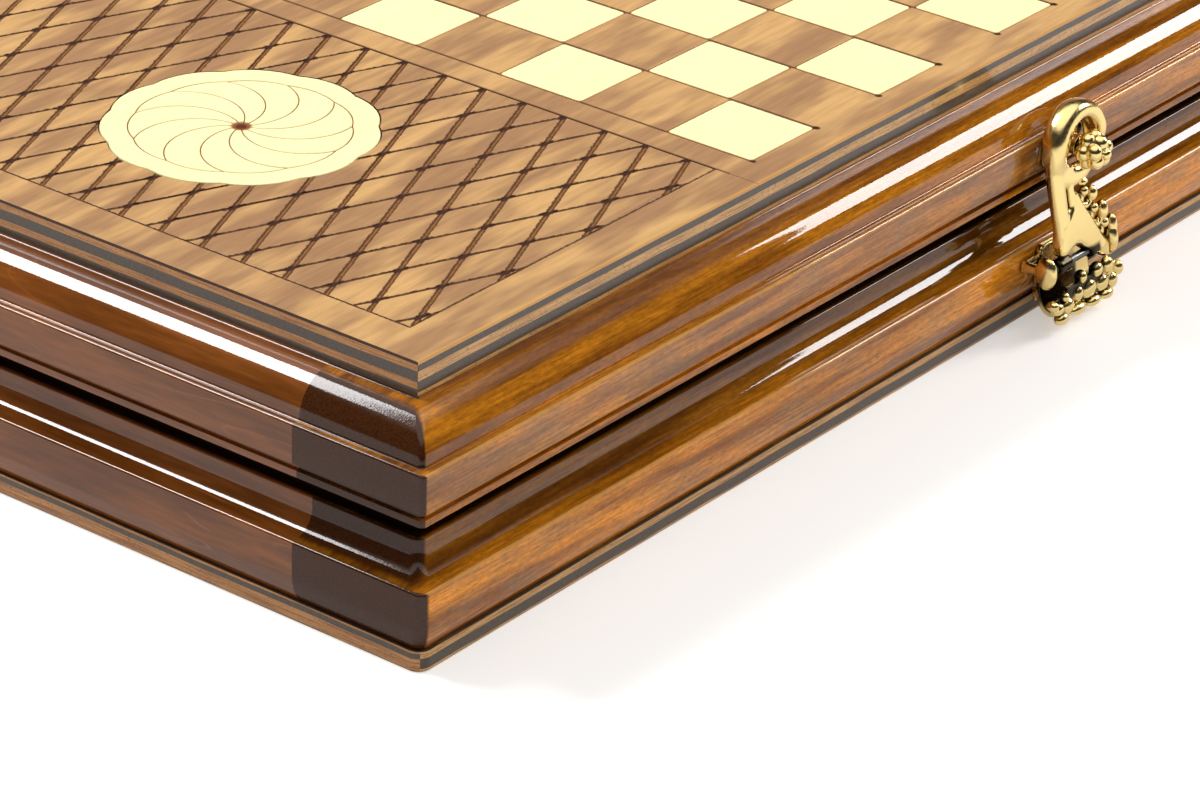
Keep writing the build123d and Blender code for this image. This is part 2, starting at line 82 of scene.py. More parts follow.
class MouldingSizes(bpy.types.PropertyGroup):
    """Sizes of the mouldings that run round the lid and the base."""

    half_length: length("Half length", "Middle of the case to its ends", 250.0)
    tray_half_width: length("Tray half width", "Middle of the case to a long rail", 87.0)
    rail_width: length("Rail width", "Case side to the tray", 38.0)
    inner_round: length("Inner round", "Rounding of the rails' meeting edge in the tray", 1.2)
    lid_corner: length("Lid corner", "Rounding of the lid mouldings' corners in plan", 1.4)
    base_corner: length("Base corner", "Rounding of the base mouldings' corners in plan", 3.0)
    edge_ease: length("Edge ease", "Worn rounding of the sharp edges", 0.4)
    varnish_fillet: length("Varnish fillet", "Varnish gathered in the inner corners", 0.5)
    joint_height: length("Joint height", "Height where the lid meets the base", 35.0)
    joint_inset: length("Joint inset", "Meeting faces behind the bands", 10.0)
    lip_rise: length("Lip rise", "Lid lip over the meeting face", 1.7)
    lip_inset: length("Lip inset", "Lid lip behind the band", 1.5)
    groove_foot: length("Groove foot", "Lower edge of the groove over the lip", 38.6)
    groove_depth: length("Groove depth", "Depth of that groove behind the lip", 0.8)
    band_foot: length("Lid band foot", "Height of the lid band's lower edge", 40.9)
    ledge_height: length("Ledge height", "Height of the ledge over the lid band", 50.9)
    ledge_round: length("Ledge round", "Rounding of the ledge's edge", 0.7)
    ledge_width: length("Ledge width", "Ledge in front of the roundover", 2.4)
    roundover: length("Roundover", "Radius of the big roundover", 10.1)
    foot_height: length("Foot height", "Height of the base foot over the floor", 5.3)
    foot_radius: length("Foot radius", "Radius of the round under the base band", 12.5)
    base_band_foot: length("Base band foot", "Height where the base band starts", 12.8)
    shelf_height: length("Shelf height", "Height of the shelf over the base band", 21.2)
    shelf_round: length("Shelf round", "Rounding of the shelf's edge", 0.8)
    strip_inset: length("Strip inset", "Flat strip behind the base band", 6.9)
    hinge_near: length("Hinge near end", "Middle of the case to a hinge", 125.0)
    leaf_seat: length("Leaf seat", "Depth of the hinge leaves' seats from the joint", 1.55)
    barrel_back: length("Barrel seat Y", "Inner side of the hinge barrels' seats", 122.0)
    barrel_seat: length("Barrel seat", "Half height of the hinge barrels' seats", 3.3)
    rim_height: length("Rim height", "Top of the base rim, under the dark joint", 29.8)
    rim_round: length("Rim round", "Rounding of the base rim", 0.6)


class BoardSizes(bpy.types.PropertyGroup):
    """Sizes of the inlaid top and of the boards."""

    top: length("Top", "Height of the veneer's face", 70.0)
    square_pitch: length("Square pitch", "Chess square to chess square", 26.0)
    light_square: length("Light square", "Side of a light square", 25.2)
    square_round: length("Square round", "Rounding of a light square's corners", 0.9)
    groove: length("Groove", "Width of the grooves between the columns", 0.8)
    groove_depth: length("Groove depth", "Depth of those grooves", 0.3)
    recess_depth: length("Recess depth", "Depth of the seam round a light square", 0.3)
    edge_ease: length("Edge ease", "Rounding of the boards' edges", 0.3)
    base_corner: length("Base corner", "Rounding of the base board's corners in plan", 3.5)
    sheet_half: length("Sheet half width", "Middle of the case to the veneer's long edge", 112.5)
    lattice_near: length("Lattice near side", "Lattice frame, near the chess board", 113.2)
    lattice_far: length("Lattice far side", "Lattice frame, near the end", 225.6)
    lattice_half: length("Lattice half width", "Middle to the lattice frame's long sides", 100.1)
    cell_length: length("Cell length", "Length of a lattice diamond", 30.5)
    cell_width: length("Cell width", "Width of a lattice diamond", 12.53)
    first_x: length("First crossing X", "A crossing of the left lattice", -128.5)
    first_y: length("First crossing Y", "The same crossing", -98.4)
    thick_line: length("Thick line", "Width of the lattice lines of one direction", 1.1)
    thin_line: length("Thin line", "Width of the lattice lines of the other", 0.7)
    line_depth: length("Line depth", "Depth of the lattice lines", 0.24)
    frame_line: length("Frame line", "Width of the line round the lattice", 0.6)
    tile_ease: length("Diamond ease", "Rounding of the diamonds' edges", 0.32)


class MedallionSizes(bpy.types.PropertyGroup):
    """Sizes of the round rosette in each lattice."""

    centre: length("Centre", "Middle of the case to the middle of the medallion", 169.4)
    lobes: bpy.props.IntProperty(name="Lobes", description="Scallops and rays", default=11)
    turn: number("Turn", "Angle of the first dent, in degrees", -15.7)
    outer: length("Outer radius", "Radius at the lobes", 33.9)
    dent: length("Dent radius", "Radius at the dents", 32.8)
    ring: length("Ring radius", "Engraved outline at the rays", 26.6)
    ring_lobe: length("Ring lobe", "Engraved outline between the rays", 27.2)
    ray_radius: length("Ray radius", "Radius of the arc that a ray follows", 15.4)
    line: length("Line", "Width of the engraved lines", 0.5)
    depth: length("Depth", "Depth of the engraved lines", 0.25)


class ClaspSizes(bpy.types.PropertyGroup):
    """Sizes of the cast clasp."""

    pin_y: length("Pin Y", "Clasp pin, measured along Y", -132.8)
    pin_z: length("Pin Z", "Height of the clasp pin", 17.0)
    lean: number("Lean", "Lean of the arm towards the lid, in degrees", 7.03)
    voxel: length("Voxel", "Grain of the castings", 0.17)


class WoodColours(bpy.types.PropertyGroup):
    """Stains and veneers, with the painted highlight, reflection and shade laid on them."""

    veneer: tone("Veneer", "Stained veneer", "aa805a")
    veneer_gold: tone("Golden veneer", "Its golden patches", "d6a86e")
    # Painted highlight: a light gold line along the veneer's long edges and the mouldings' ledge and
    # shelf edges
    edge_highlight: tone("Edge highlight", "Painted highlight along the sharp edges", "e0a455")
    burnt: tone("Burnt line", "Amber core of the wide engraved lines", "94602c")
    burnt_thin: tone("Dark burnt line", "Engraved lines", "54341e")
    burnt_edge: tone("Burnt edge", "Edges and floors of the recesses", "8f5c30")
    burnt_dark: tone("Burnt spot", "Crossings and ends of the lines", "3a1c0e")
    groove: tone("Groove", "Lines between the columns of squares", "6e4c34")
    pale: tone("Pale veneer", "Light squares and medallions", "fff6bc")
    pale_edge: tone("Pale edge", "Scorched edges of the light squares", "d9a260")
    pale_line: tone("Pale line", "Engraved lines in the medallions", "96592f")
    beech: tone("Beech", "Front and back mouldings", "d2821c")
    beech_dark: tone("Dark beech", "Their dark bands", "864a0e")
    # Painted reflection: grey clouds on the beech bands stand for the floor mirrored in the varnish
    beech_grey_reflection: tone("Grey beech reflection", "Painted grey reflection on their bands", "8a6a48")
    fleck: tone("Fleck", "Short dark flecks in beech", "5a2c0e")
    end: tone("End moulding", "Left and right mouldings", "683812")
    end_warm: tone("Warm end moulding", "Their warmer bands", "844a1c")
    end_light: tone("End arc", "Their pale growth arcs", "a8683a")
    end_grain: tone("End grain", "Sawn ends of the long rails", "42230f")
    # Painted shade: near-black colour deep in the joint between the lid and the base
    joint: tone("Joint", "Painted shade deep in the joint", "1a0e06")
    ply_dark: tone("Dark ply", "Plies cut across", "4e4033")
    ply_gold: tone("Gold ply", "Plies cut along", "dfac68")
    ply_end: tone("End ply", "Tint of the gold plies at the ends", "e2cdb8")
    ply_streak: tone("Ply streak", "Streaks in the gold plies", "a3703a")
    tray: tone("Tray", "Playing field", "8a5a36")
    dark_point: tone("Dark point", "Dark points", "4b2a1a")
    light_checker: tone("Light checker", "Light checkers", "d9b98a")
    dark_checker: tone("Dark checker", "Dark checkers", "3d2117")


class MetalColours(bpy.types.PropertyGroup):
    """Metals and the dice's plastic."""

    brass: tone("Brass", "Rubbed brass", "e8cd8a")
    brass_dark: tone("Brass patina", "Brass in the hollows", "4a3f20")
    hinge: tone("Hinge brass", "Plated hinges and screws", "d9bd80")
    steel: tone("Steel", "Clasp pin", "6b6a68")
    steel_dark: tone("Blackened steel", "Clasp pin in the hollows", "2a2928")
    # Painted shade: near-black colour about the clasp pin and under the arm
    painted_pin_shade: tone("Pin shade", "Painted shade about the clasp pin", "120e0a")
    ivory: tone("Ivory", "Dice", "efe8d6")
    pip: tone("Pip", "Pips of the dice", "1c1a19")


class StudioSettings(bpy.types.PropertyGroup):
    """Camera, lamps and floor."""

    lens: number("Lens", "Focal length in millimetres on a 36 mm sensor", 147.39)
    key_glow: number("Key glow", "Radiance of the lamp behind the object", 23.0)
    side_glow: number("Side glow", "Radiance of the lamp at the right", 15.0)
    fill: number("Fill", "Soft light from all round", 0.36)
    room_low: number("Dark room", "What gloss shows of the walls", 0.05)
    room_high: number("Bright ceiling", "What gloss shows of the ceiling", 2.0)
    backdrop: number("Backdrop", "White that the camera sees", 1.05)
    floor: tone("Floor", "Floor's colour", "f2f1ef")
    floor_glow: number("Floor glow", "Lift of the floor towards the backdrop's white", 0.46)
    floor_gloss: number("Floor in gloss", "That lift, as gloss and metal show it", 0.3)


# Meshes


def skin(rings, joined=False):
    """Closed skin over rings[i, j], a loop of points for each i.

    A quad joins j to j + 1 and i to i + 1. The first and last ring are capped, or meet if joined.
    """
    count, size = rings.shape[:2]
    index = np.arange(count * size).reshape(count, size)
    low = index if joined else index[:-1]
    high = np.roll(index, -1, axis=0) if joined else index[1:]
    corners = [low, np.roll(low, -1, axis=1), np.roll(high, -1, axis=1), high]
    faces = np.stack(corners, axis=-1).reshape(-1, 4).tolist()
    if not joined:
        faces += [index[0, ::-1].tolist(), index[-1].tolist()]
    return rings.reshape(-1, 3), faces


def at_height(loop, height):
    """Plan points lifted to one height."""
    return np.column_stack([loop, np.full(len(loop), height)])


def inset_loop(loop, distance):
    """Closed loop, run counter-clockwise, moved inward by distance along its mitred normals.

    With unit normals a and b of the two sides at a point, it moves by distance (a + b) / (1 + a.b),
    held back at very sharp tips.
    """
    side = np.roll(loop, -1, axis=0) - loop
    side /= np.linalg.norm(side, axis=1)[:, None]
    after = np.column_stack([-side[:, 1], side[:, 0]])
    before = np.roll(after, 1, axis=0)
    share = np.maximum(1 + (after * before).sum(axis=1), 0.3)
    return loop + distance * (after + before) / share[:, None]


def rectangle(low, high, radius=0.0, steps=6):
    """Counter-clockwise rectangle from corner low to corner high, with rounded corners."""
    low, high = np.array(low), np.array(high)
    corners = [(high[0], low[1]), (high[0], high[1]), (low[0], high[1]), (low[0], low[1])]
    if radius == 0.0:
        return np.array(corners)
    middle = (low + high) / 2
    loop = []
    for quarter, corner in enumerate(corners):
        centre = np.array(corner) - np.sign(np.array(corner) - middle) * radius
        for step in range(steps + 1):
            angle = math.pi / 2 * (quarter - 1 + step / steps)
            loop.append(centre + radius * np.array([math.cos(angle), math.sin(angle)]))
    return np.array(loop)


def plate(loop, low, high, ease, steps=4):
    """Flat plate over a plan loop, with its upper edge rounded by ease.

    Ring k is the loop moved in by ease (1 - cos t) at height high - ease (1 - sin t).
    """
    rings = [at_height(loop, low), at_height(loop, high - ease)]
    for angle in np.linspace(0, math.pi / 2, steps + 1)[1:]:
        moved = inset_loop(loop, ease * (1 - math.cos(angle)))
        rings.append(at_height(moved, high - ease * (1 - math.sin(angle))))
    return skin(np.array(rings))


def arc(centre, radius, start, end, steps=10):
    """Points (reach in from the case side, height) along an arc, angles in degrees."""
    angles = np.radians(np.linspace(start, end, steps + 1))
    return [(centre[0] + radius * math.cos(a), centre[1] + radius * math.sin(a)) for a in angles]


def joined_shells(shells):
    """Several shells as one list of points and faces."""
    points, faces, shift = [], [], 0
    for spots, polygons in shells:
        points.append(spots)
        faces += [[index + shift for index in polygon] for polygon in polygons]
        shift += len(spots)
    return np.concatenate(points), faces


def make_object(name, shells, keep_sharp=35.0):
    """Object from closed shells: doubled points merged, faces turned outward, shaded smooth."""
    points, faces = joined_shells(shells)
    mesh = bpy.data.meshes.new(name)
    mesh.from_pydata(points.tolist(), [], faces)
    work = bmesh.new()
    work.from_mesh(mesh)
    bmesh.ops.remove_doubles(work, verts=work.verts, dist=0.0002 * MM)
    bmesh.ops.dissolve_degenerate(work, edges=work.edges, dist=0.0001 * MM)
    bmesh.ops.recalc_face_normals(work, faces=work.faces)
    work.to_mesh(mesh)
    work.free()
    mesh.shade_smooth()
    mesh.set_sharp_from_angle(angle=math.radians(keep_sharp))
    thing = bpy.data.objects.new(name, mesh)
    bpy.context.scene.collection.objects.link(thing)
    return thing


def settle(thing, finish, body, nodes):
    """Give an object its material and its body, and hide the CAD nodes it stands for."""
    thing.data.materials.clear()
    thing.data.materials.append(finish)
    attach(thing, body)
    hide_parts(*nodes)


def apply_modifiers(thing):
    """Bake an object's modifiers into its mesh."""
    graph = bpy.context.evaluated_depsgraph_get()
    baked = bpy.data.meshes.new_from_object(thing.evaluated_get(graph))
    thing.modifiers.clear()
    thing.data = baked


def cut_away(thing, shells, keep_sharp=35.0):
    """Cut the shells' volume out of an object."""
    tool = make_object("cutter", shells)
    cut = thing.modifiers.new("cut", "BOOLEAN")
    cut.operation = "DIFFERENCE"
    cut.solver = "EXACT"
    cut.object = tool
    apply_modifiers(thing)
    bpy.data.objects.remove(tool)
    thing.data.shade_smooth()
    thing.data.set_sharp_from_angle(angle=math.radians(keep_sharp))


def cast(thing, voxel, smooth_rounds):
    """Melt an object's overlapping shells into one casting."""
    melt = thing.modifiers.new("melt", "REMESH")
    melt.mode = "VOXEL"
    melt.voxel_size = voxel
    melt.use_smooth_shade = True
    soften = thing.modifiers.new("soften", "SMOOTH")
    soften.factor = 0.5
    soften.iterations = smooth_rounds
    apply_modifiers(thing)
    thing.data.shade_smooth()


# Rails


def lid_profile(sizes):
    """Outside of the lid's moulding from the joint up, as (reach in, height)."""
    ease, fillet = sizes.edge_ease, sizes.varnish_fillet
    lip, ledge = sizes.lip_inset, sizes.ledge_height
    lip_foot = sizes.joint_height + sizes.lip_rise
    corner = sizes.ledge_round
    centre = sizes.ledge_width + sizes.roundover
    top = ledge + sizes.roundover
    rows = [(sizes.joint_inset, sizes.joint_height), (sizes.joint_inset, lip_foot)]
    rows += arc((lip + ease, lip_foot + ease), ease, 270, 180, 4)
    groove = lip + sizes.groove_depth
    rows += [(lip, sizes.groove_foot), (groove, sizes.groove_foot + sizes.groove_depth / 4)]
    rows += [(groove, sizes.band_foot)]
    rows += arc((ease, sizes.band_foot + ease), ease, 270, 180, 4)
    rows += arc((corner, ledge - corner), corner, 180, 90, 6)
    rows += arc((sizes.ledge_width - fillet, ledge + fillet), fillet, 270, 360, 4)
    rows += arc((centre, ledge), sizes.roundover, 177, 92, 22)
    rows += arc((centre - fillet, top + fillet), fillet, 270, 360, 4)
    rows += [(centre + fillet / 2, top + fillet)]
    return rows


def base_profile(sizes):
    """Outside of the base's moulding from the board up, as (reach in, height)."""
    corner, strip, rim = sizes.shelf_round, sizes.strip_inset, sizes.rim_round
    shelf = sizes.shelf_height
    cove = strip - corner
    rise = sizes.base_band_foot - sizes.foot_height
    swing = math.degrees(math.asin(rise / sizes.foot_radius))
    rows = arc((sizes.foot_radius, sizes.base_band_foot), sizes.foot_radius, 180 + swing, 180, 10)
    rows += arc((corner, shelf - corner), corner, 180, 90, 6)
    rows += arc((corner, shelf + cove), cove, 270, 360, 16)
    rows += arc((strip + rim, sizes.rim_height - rim), rim, 180, 90, 6)
    rows += [(sizes.joint_inset, sizes.rim_height), (sizes.joint_inset, sizes.joint_height)]
    return rows


def inner_reach(height, sizes):
    """How far the tray's wall steps back at a height, near the rounded meeting edge."""
    radius = sizes.inner_round
    gap = min(abs(height - sizes.joint_height), radius)
    return radius - math.sqrt(radius**2 - (radius - gap) ** 2)


def with_inner_rows(rows, sizes):
    """Profile rows with extra ones where the rounded meeting edge turns."""
    joint = sizes.joint_height
    lift = 1 if rows[-1][1] > joint + MM else -1
    wanted = [joint + lift * sizes.inner_round * share for share in (0.02, 0.08, 0.2, 0.5, 1.0)]
    result = []
    for first, second in zip(rows, rows[1:] + [None]):
        result.append(first)
        if second is None:
            continue
        low, high = sorted((first[1], second[1]))
        between = [w for w in wanted if low + 0.01 * MM < w < high - 0.01 * MM]
        for height in sorted(between, reverse=second[1] < first[1]):
            share = (height - first[1]) / (second[1] - first[1])
            result.append((first[0] + share * (second[0] - first[0]), height))
    return result


def long_rail_shell(rows, sizes, side, ease):
    """Front or back rail: ring k is the plan loop for the profile's row k."""
    half_width = sizes.tray_half_width + sizes.rail_width
    rings = []
    for reach, height in with_inner_rows(rows, sizes):
        end, outer = sizes.half_length - reach, half_width - reach
        inner = sizes.tray_half_width + inner_reach(height, sizes)
        loop = [(-end, inner)]
        for angle in np.linspace(math.pi, math.pi / 2, 7):
            loop.append(
                (ease - end + ease * math.cos(angle), outer - ease + ease * math.sin(angle))
            )
        for angle in np.linspace(math.pi / 2, 0, 7):
            loop.append(
                (end - ease + ease * math.cos(angle), outer - ease + ease * math.sin(angle))
            )
        loop.append((end, inner))
        rings.append(at_height(np.array(loop) * (1, side), height))
    return skin(np.array(rings))


def end_rail_shell(rows, sizes, side):
    """Left or right rail: ring k is the plan rectangle for the profile's row k."""
    rings = []
    for reach, height in with_inner_rows(rows, sizes):
        outer = sizes.half_length - reach
        inner = sizes.half_length - sizes.rail_width + inner_reach(height, sizes)
        half = sizes.tray_half_width
        loop = np.array([(inner, -half), (outer, -half), (outer, half), (inner, half)])
        rings.append(at_height(loop * (side, 1), height))
    return skin(np.array(rings))


def block(low, high):
    """Plain block between two corners, used only to cut."""
    loop = rectangle(low[:2], high[:2])
    return skin(np.array([at_height(loop, low[2]), at_height(loop, high[2])]))


# Inlaid top


def chess_sheet_shell(low, high, sizes):
    """Chess sheet: z(x, y) = top minus the depth of the grooves and of the squares' seams.

    The grooves run along Y at each column's edge. A light square's seam is cut where
    (column + row) is even. The grid's lines are placed at the edges of both.
    """
    top, foot = high[2], low[2]
    pitch, seam = sizes.square_pitch, 0.12 * MM
    half_groove = sizes.groove / 2
    half_board = 4 * pitch
    lines = np.arange(9) * pitch - half_board
    around_x = np.array([-half_groove, -half_groove * 0.45, 0, half_groove * 0.45, half_groove])
    x = np.sort(np.concatenate([[low[0], high[0]], (lines[:, None] + around_x).ravel()]))
    around_y = np.array([-seam, 0, seam])
    y = np.sort(np.concatenate([[low[1], high[1]], (lines[:, None] + around_y).ravel()]))
    away = np.abs(x[:, None] - lines).min(axis=1)
    v_depth = np.interp(away, [0, half_groove * 0.45, half_groove], [1, 0.75, 0])
    on_board = np.abs(y) < half_board + seam / 2
    depth = sizes.groove_depth * v_depth[:, None] * on_board[None, :]
    column = np.floor((x + half_board) / pitch)
    row = np.floor((y + half_board) / pitch)
    inside_x = (x > -half_board) & (x < half_board) & (away > seam / 2)
    off_line = np.abs(y[:, None] - lines).min(axis=1) > seam / 2
    inside_y = (np.abs(y) < half_board) & off_line
    light = (column[:, None] + row[None, :]) % 2 == 0
    recess = light & inside_x[:, None] & inside_y[None, :]
    depth = np.maximum(depth, sizes.recess_depth * recess)
    grid_x, grid_y = np.meshgrid(x, y, indexing="ij")
    upper = np.stack([grid_x, grid_y, top - depth], axis=-1)
    lower = np.stack([grid_x, grid_y, np.full(grid_x.shape, foot)], axis=-1)
    return grid_box(upper, lower)


def grid_box(upper, lower):
    """Closed box between two grids of the same shape, with walls round their rims."""
    rows, columns = upper.shape[:2]
    index = np.arange(rows * columns).reshape(rows, columns)
    below = index + rows * columns
    quads = np.stack([index[:-1, :-1], index[1:, :-1], index[1:, 1:], index[:-1, 1:]], axis=-1)
    under = np.stack([below[:-1, :-1], below[:-1, 1:], below[1:, 1:], below[1:, :-1]], axis=-1)
    faces = quads.reshape(-1, 4).tolist() + under.reshape(-1, 4).tolist()
    rim = np.concatenate([index[:-1, 0], index[-1, :-1], index[:0:-1, -1], index[0, :0:-1]])
    after = np.roll(rim, -1)
    walls = np.stack([rim, rim + rows * columns, after + rows * columns, after], axis=-1)
    faces += walls.tolist()
    return np.concatenate([upper.reshape(-1, 3), lower.reshape(-1, 3)]), faces


def light_square_shells(low, high, sizes):
    """A rounded plate for every light square, (column + row) even from the near left corner."""
    shells = []
    half = sizes.light_square / 2
    for column in range(8):
        for row in range(8):
            if (column + row) % 2 == 0:
                x = (column - 3.5) * sizes.square_pitch
                y = (row - 3.5) * sizes.square_pitch
                loop = rectangle((x - half, y - half), (x + half, y + half), sizes.square_round, 4)
                shells.append(plate(loop, low[2], high[2], 0.2 * MM))
    return shells


def clip(polygon, normal, limit):
    """Part of a convex polygon where normal . p <= limit."""
    kept = []
    for here, there in zip(polygon, polygon[1:] + polygon[:1]):
        a = normal[0] * here[0] + normal[1] * here[1] - limit
        b = normal[0] * there[0] + normal[1] * there[1] - limit
        if a <= 0:
            kept.append(here)
        if (a < 0 < b) or (b < 0 < a):
            share = a / (a - b)
            kept.append(tuple(h + share * (t - h) for h, t in zip(here, there)))
    return kept


def clean(polygon, least):
    """Polygon without points closer than least to the one before."""
    kept = []
    for spot in polygon:
        if not kept or math.dist(spot, kept[-1]) > least:
            kept.append(spot)
    if len(kept) > 1 and math.dist(kept[0], kept[-1]) <= least:
        kept.pop()
    return kept


def lattice_tiles(sizes):
    """Diamonds of the left lattice as convex polygons, clipped to its frame.

    A diamond is |n1.(p - c)| <= h - thick / 2 and |n2.(p - c)| <= h - thin / 2, where n1 and n2
    are the unit normals of the two line directions and h is half the gap between the lines.
    """
    half_x, half_y = sizes.cell_length / 2, sizes.cell_width / 2
    size = math.hypot(half_x, half_y)
    rising = np.array([-half_y, half_x]) / size
    falling = np.array([half_y, half_x]) / size
    reach = half_x * half_y / size
    line = sizes.frame_line / 2
    frame_low = (-sizes.lattice_far + line, -sizes.lattice_half + line)
    frame_high = (-sizes.lattice_near - line, sizes.lattice_half - line)
    tiles = []
    # Columns and rows of half cells, counted from the first crossing, that cover the frame
    for column in range(-9, 4):
        for row in range(-1, 36):
            if (column + row) % 2 == 0:
                continue
            centre = np.array([sizes.first_x + column * half_x, sizes.first_y + row * half_y])
            polygon = [tuple(p) for p in rectangle(centre - 40 * MM, centre + 40 * MM)]
            for normal, width in ((rising, sizes.thick_line), (falling, sizes.thin_line)):
                for way in (1, -1):
                    limit = way * normal @ centre + reach - width / 2
                    polygon = clip(polygon, way * normal, limit)
            polygon = clip(polygon, (1, 0), frame_high[0])
            polygon = clip(polygon, (-1, 0), -frame_low[0])
            polygon = clip(polygon, (0, 1), frame_high[1])
            polygon = clip(polygon, (0, -1), -frame_low[1])
            polygon = clean(polygon, 0.05 * MM)
            if len(polygon) >= 3:
                tiles.append(np.array(polygon))
    return tiles


def area(loop):
    """Area of a plan loop."""
    x, y = loop.T
    return abs(x @ np.roll(y, -1) - y @ np.roll(x, -1)) / 2


def scallop(angles, sizes):
    """Radius of the rosette's outline: the dent's, plus the lobe's rise 1 - (2 s - 1)^2.

    s runs from 0 to 1 from one dent to the next.
    """
    share = (angles - math.radians(sizes.turn)) / (2 * math.pi) * sizes.lobes % 1
    return sizes.dent + (sizes.outer - sizes.dent) * (1 - (2 * share - 1) ** 2)


def outside_disc(loop, centre, radius_at, step):
    """Pieces of a counter-clockwise loop that lie outside a round outline about centre.

    The loop is cut into short steps. Each run of steps outside the outline is closed by
    following the outline clockwise to the start of the nearest run.
    """
    sides = np.roll(loop, -1, axis=0) - loop
    fine = []
    for start, way in zip(loop, sides):
        count = max(1, math.ceil(np.hypot(*way) / step))
        fine.append(start + way * (np.arange(count) / count)[:, None])
    fine = np.concatenate(fine)
    from_centre = fine - centre
    angles = np.arctan2(from_centre[:, 1], from_centre[:, 0])
    outside = np.hypot(*from_centre.T) > radius_at(angles)
    if outside.all():
        return [loop]
    if not outside.any():
        return []
    first = np.flatnonzero(outside & ~np.roll(outside, 1))
    runs = []
    for start in first:
        length_of_run = np.argmin(np.roll(outside, -start))
        runs.append((start + np.arange(length_of_run)) % len(fine))
    pieces, left = [], list(range(len(runs)))
    while left:
        current = left[0]
        piece = []
        while current in left:
            left.remove(current)
            run = runs[current]
            piece.append(fine[run])
            leave = angles[run[-1]]
            gaps = [(leave - angles[runs[k][0]]) % (2 * math.pi) for k in range(len(runs))]
            current = int(np.argmin(gaps))
            turn = leave - np.linspace(0, gaps[current], max(3, int(gaps[current] / 0.03)))
            reach = radius_at(turn)[:, None]
            piece.append(centre + reach * np.column_stack([np.cos(turn), np.sin(turn)]))
        pieces.append(np.concatenate(piece))
    return pieces


def lattice_shells(low, high, sizes, rosette, side):
    """Lattice sheet: floor of the lines, the diamonds on it, and the smooth border round them."""
    top, foot = high[2], low[2]
    floor = top - sizes.line_depth
    bed = foot + 0.1 * MM
    middle = np.array([side * rosette.centre, 0.0])
    gap = 0.35 * MM

    def edge(angles):
        """Edge of the rosette's hole."""
        return scallop(angles, rosette) + gap

    skirt = 0.05 * MM
    near_corner, far_corner = np.array(low) + skirt, np.array(high) - skirt
    shells = [floor_shell(near_corner, far_corner, foot, floor, middle, edge)]
    for loop in lattice_tiles(sizes):
        mirrored = loop * (-side, 1)
        ordered = mirrored if side < 0 else mirrored[::-1]
        for piece in outside_disc(ordered, middle, edge, 0.4 * MM):
            piece = np.array(clean([tuple(spot) for spot in piece], 0.08 * MM))
            if len(piece) > 2 and area(piece) > 1.5 * MM * MM:
                ease = sizes.tile_ease if len(piece) == len(loop) else 0.05 * MM
                shells.append(plate(piece, bed, top - 0.02 * MM, ease, 3))
    near, far, half = sizes.lattice_near, sizes.lattice_far, sizes.lattice_half
    inner, outer = sorted((abs(low[0]), abs(high[0])))
    border = [
        (inner, low[1]),
        (outer, low[1]),
        (outer, high[1]),
        (inner, high[1]),
        (inner, half),
        (far, half),
        (far, -half),
        (inner, -half),
    ]
    loop = np.array(border) * (side, 1)
    ordered = loop if side > 0 else loop[::-1]
    shells.append(plate(ordered, foot, top, 0.2 * MM, 3))
    if near > inner + 0.5 * MM:
        strip = rectangle((inner, -half + 0.3 * MM), (near, half - 0.3 * MM)) * (side, 1)
        shells.append(plate(strip if side > 0 else strip[::-1], bed, top, 0.1 * MM, 2))
    return shells


def floor_shell(low, high, foot, floor, middle, edge):
    """Floor of the lines: a slab round the rosette's hole, made ray by ray about its middle.

    A ray at angle a runs from the hole's edge to the sheet's side, min |side / (cos a, sin a)|.
    """
    corners = np.array([(x, y) for x in (low[0], high[0]) for y in (low[1], high[1])]) - middle
    angles = np.concatenate(
        [np.linspace(-math.pi, math.pi, 132, endpoint=False), np.arctan2(*corners.T[::-1])]
    )
    angles = np.unique(angles)
    ways = np.column_stack([np.cos(angles), np.sin(angles)])
    limits = np.where(ways > 0, np.array(high[:2]) - middle, np.array(low[:2]) - middle)
    reach = np.min(np.abs(limits / np.where(np.abs(ways) < 1e-9, 1e-9, ways)), axis=1)
    outer = middle + ways * reach[:, None]
    inner = middle + ways * edge(angles)[:, None]
    rings = [
        at_height(outer, foot),
        at_height(outer, floor),
        at_height(inner, floor),
        at_height(inner, foot),
    ]
    return skin(np.array(rings).transpose(1, 0, 2), joined=True)


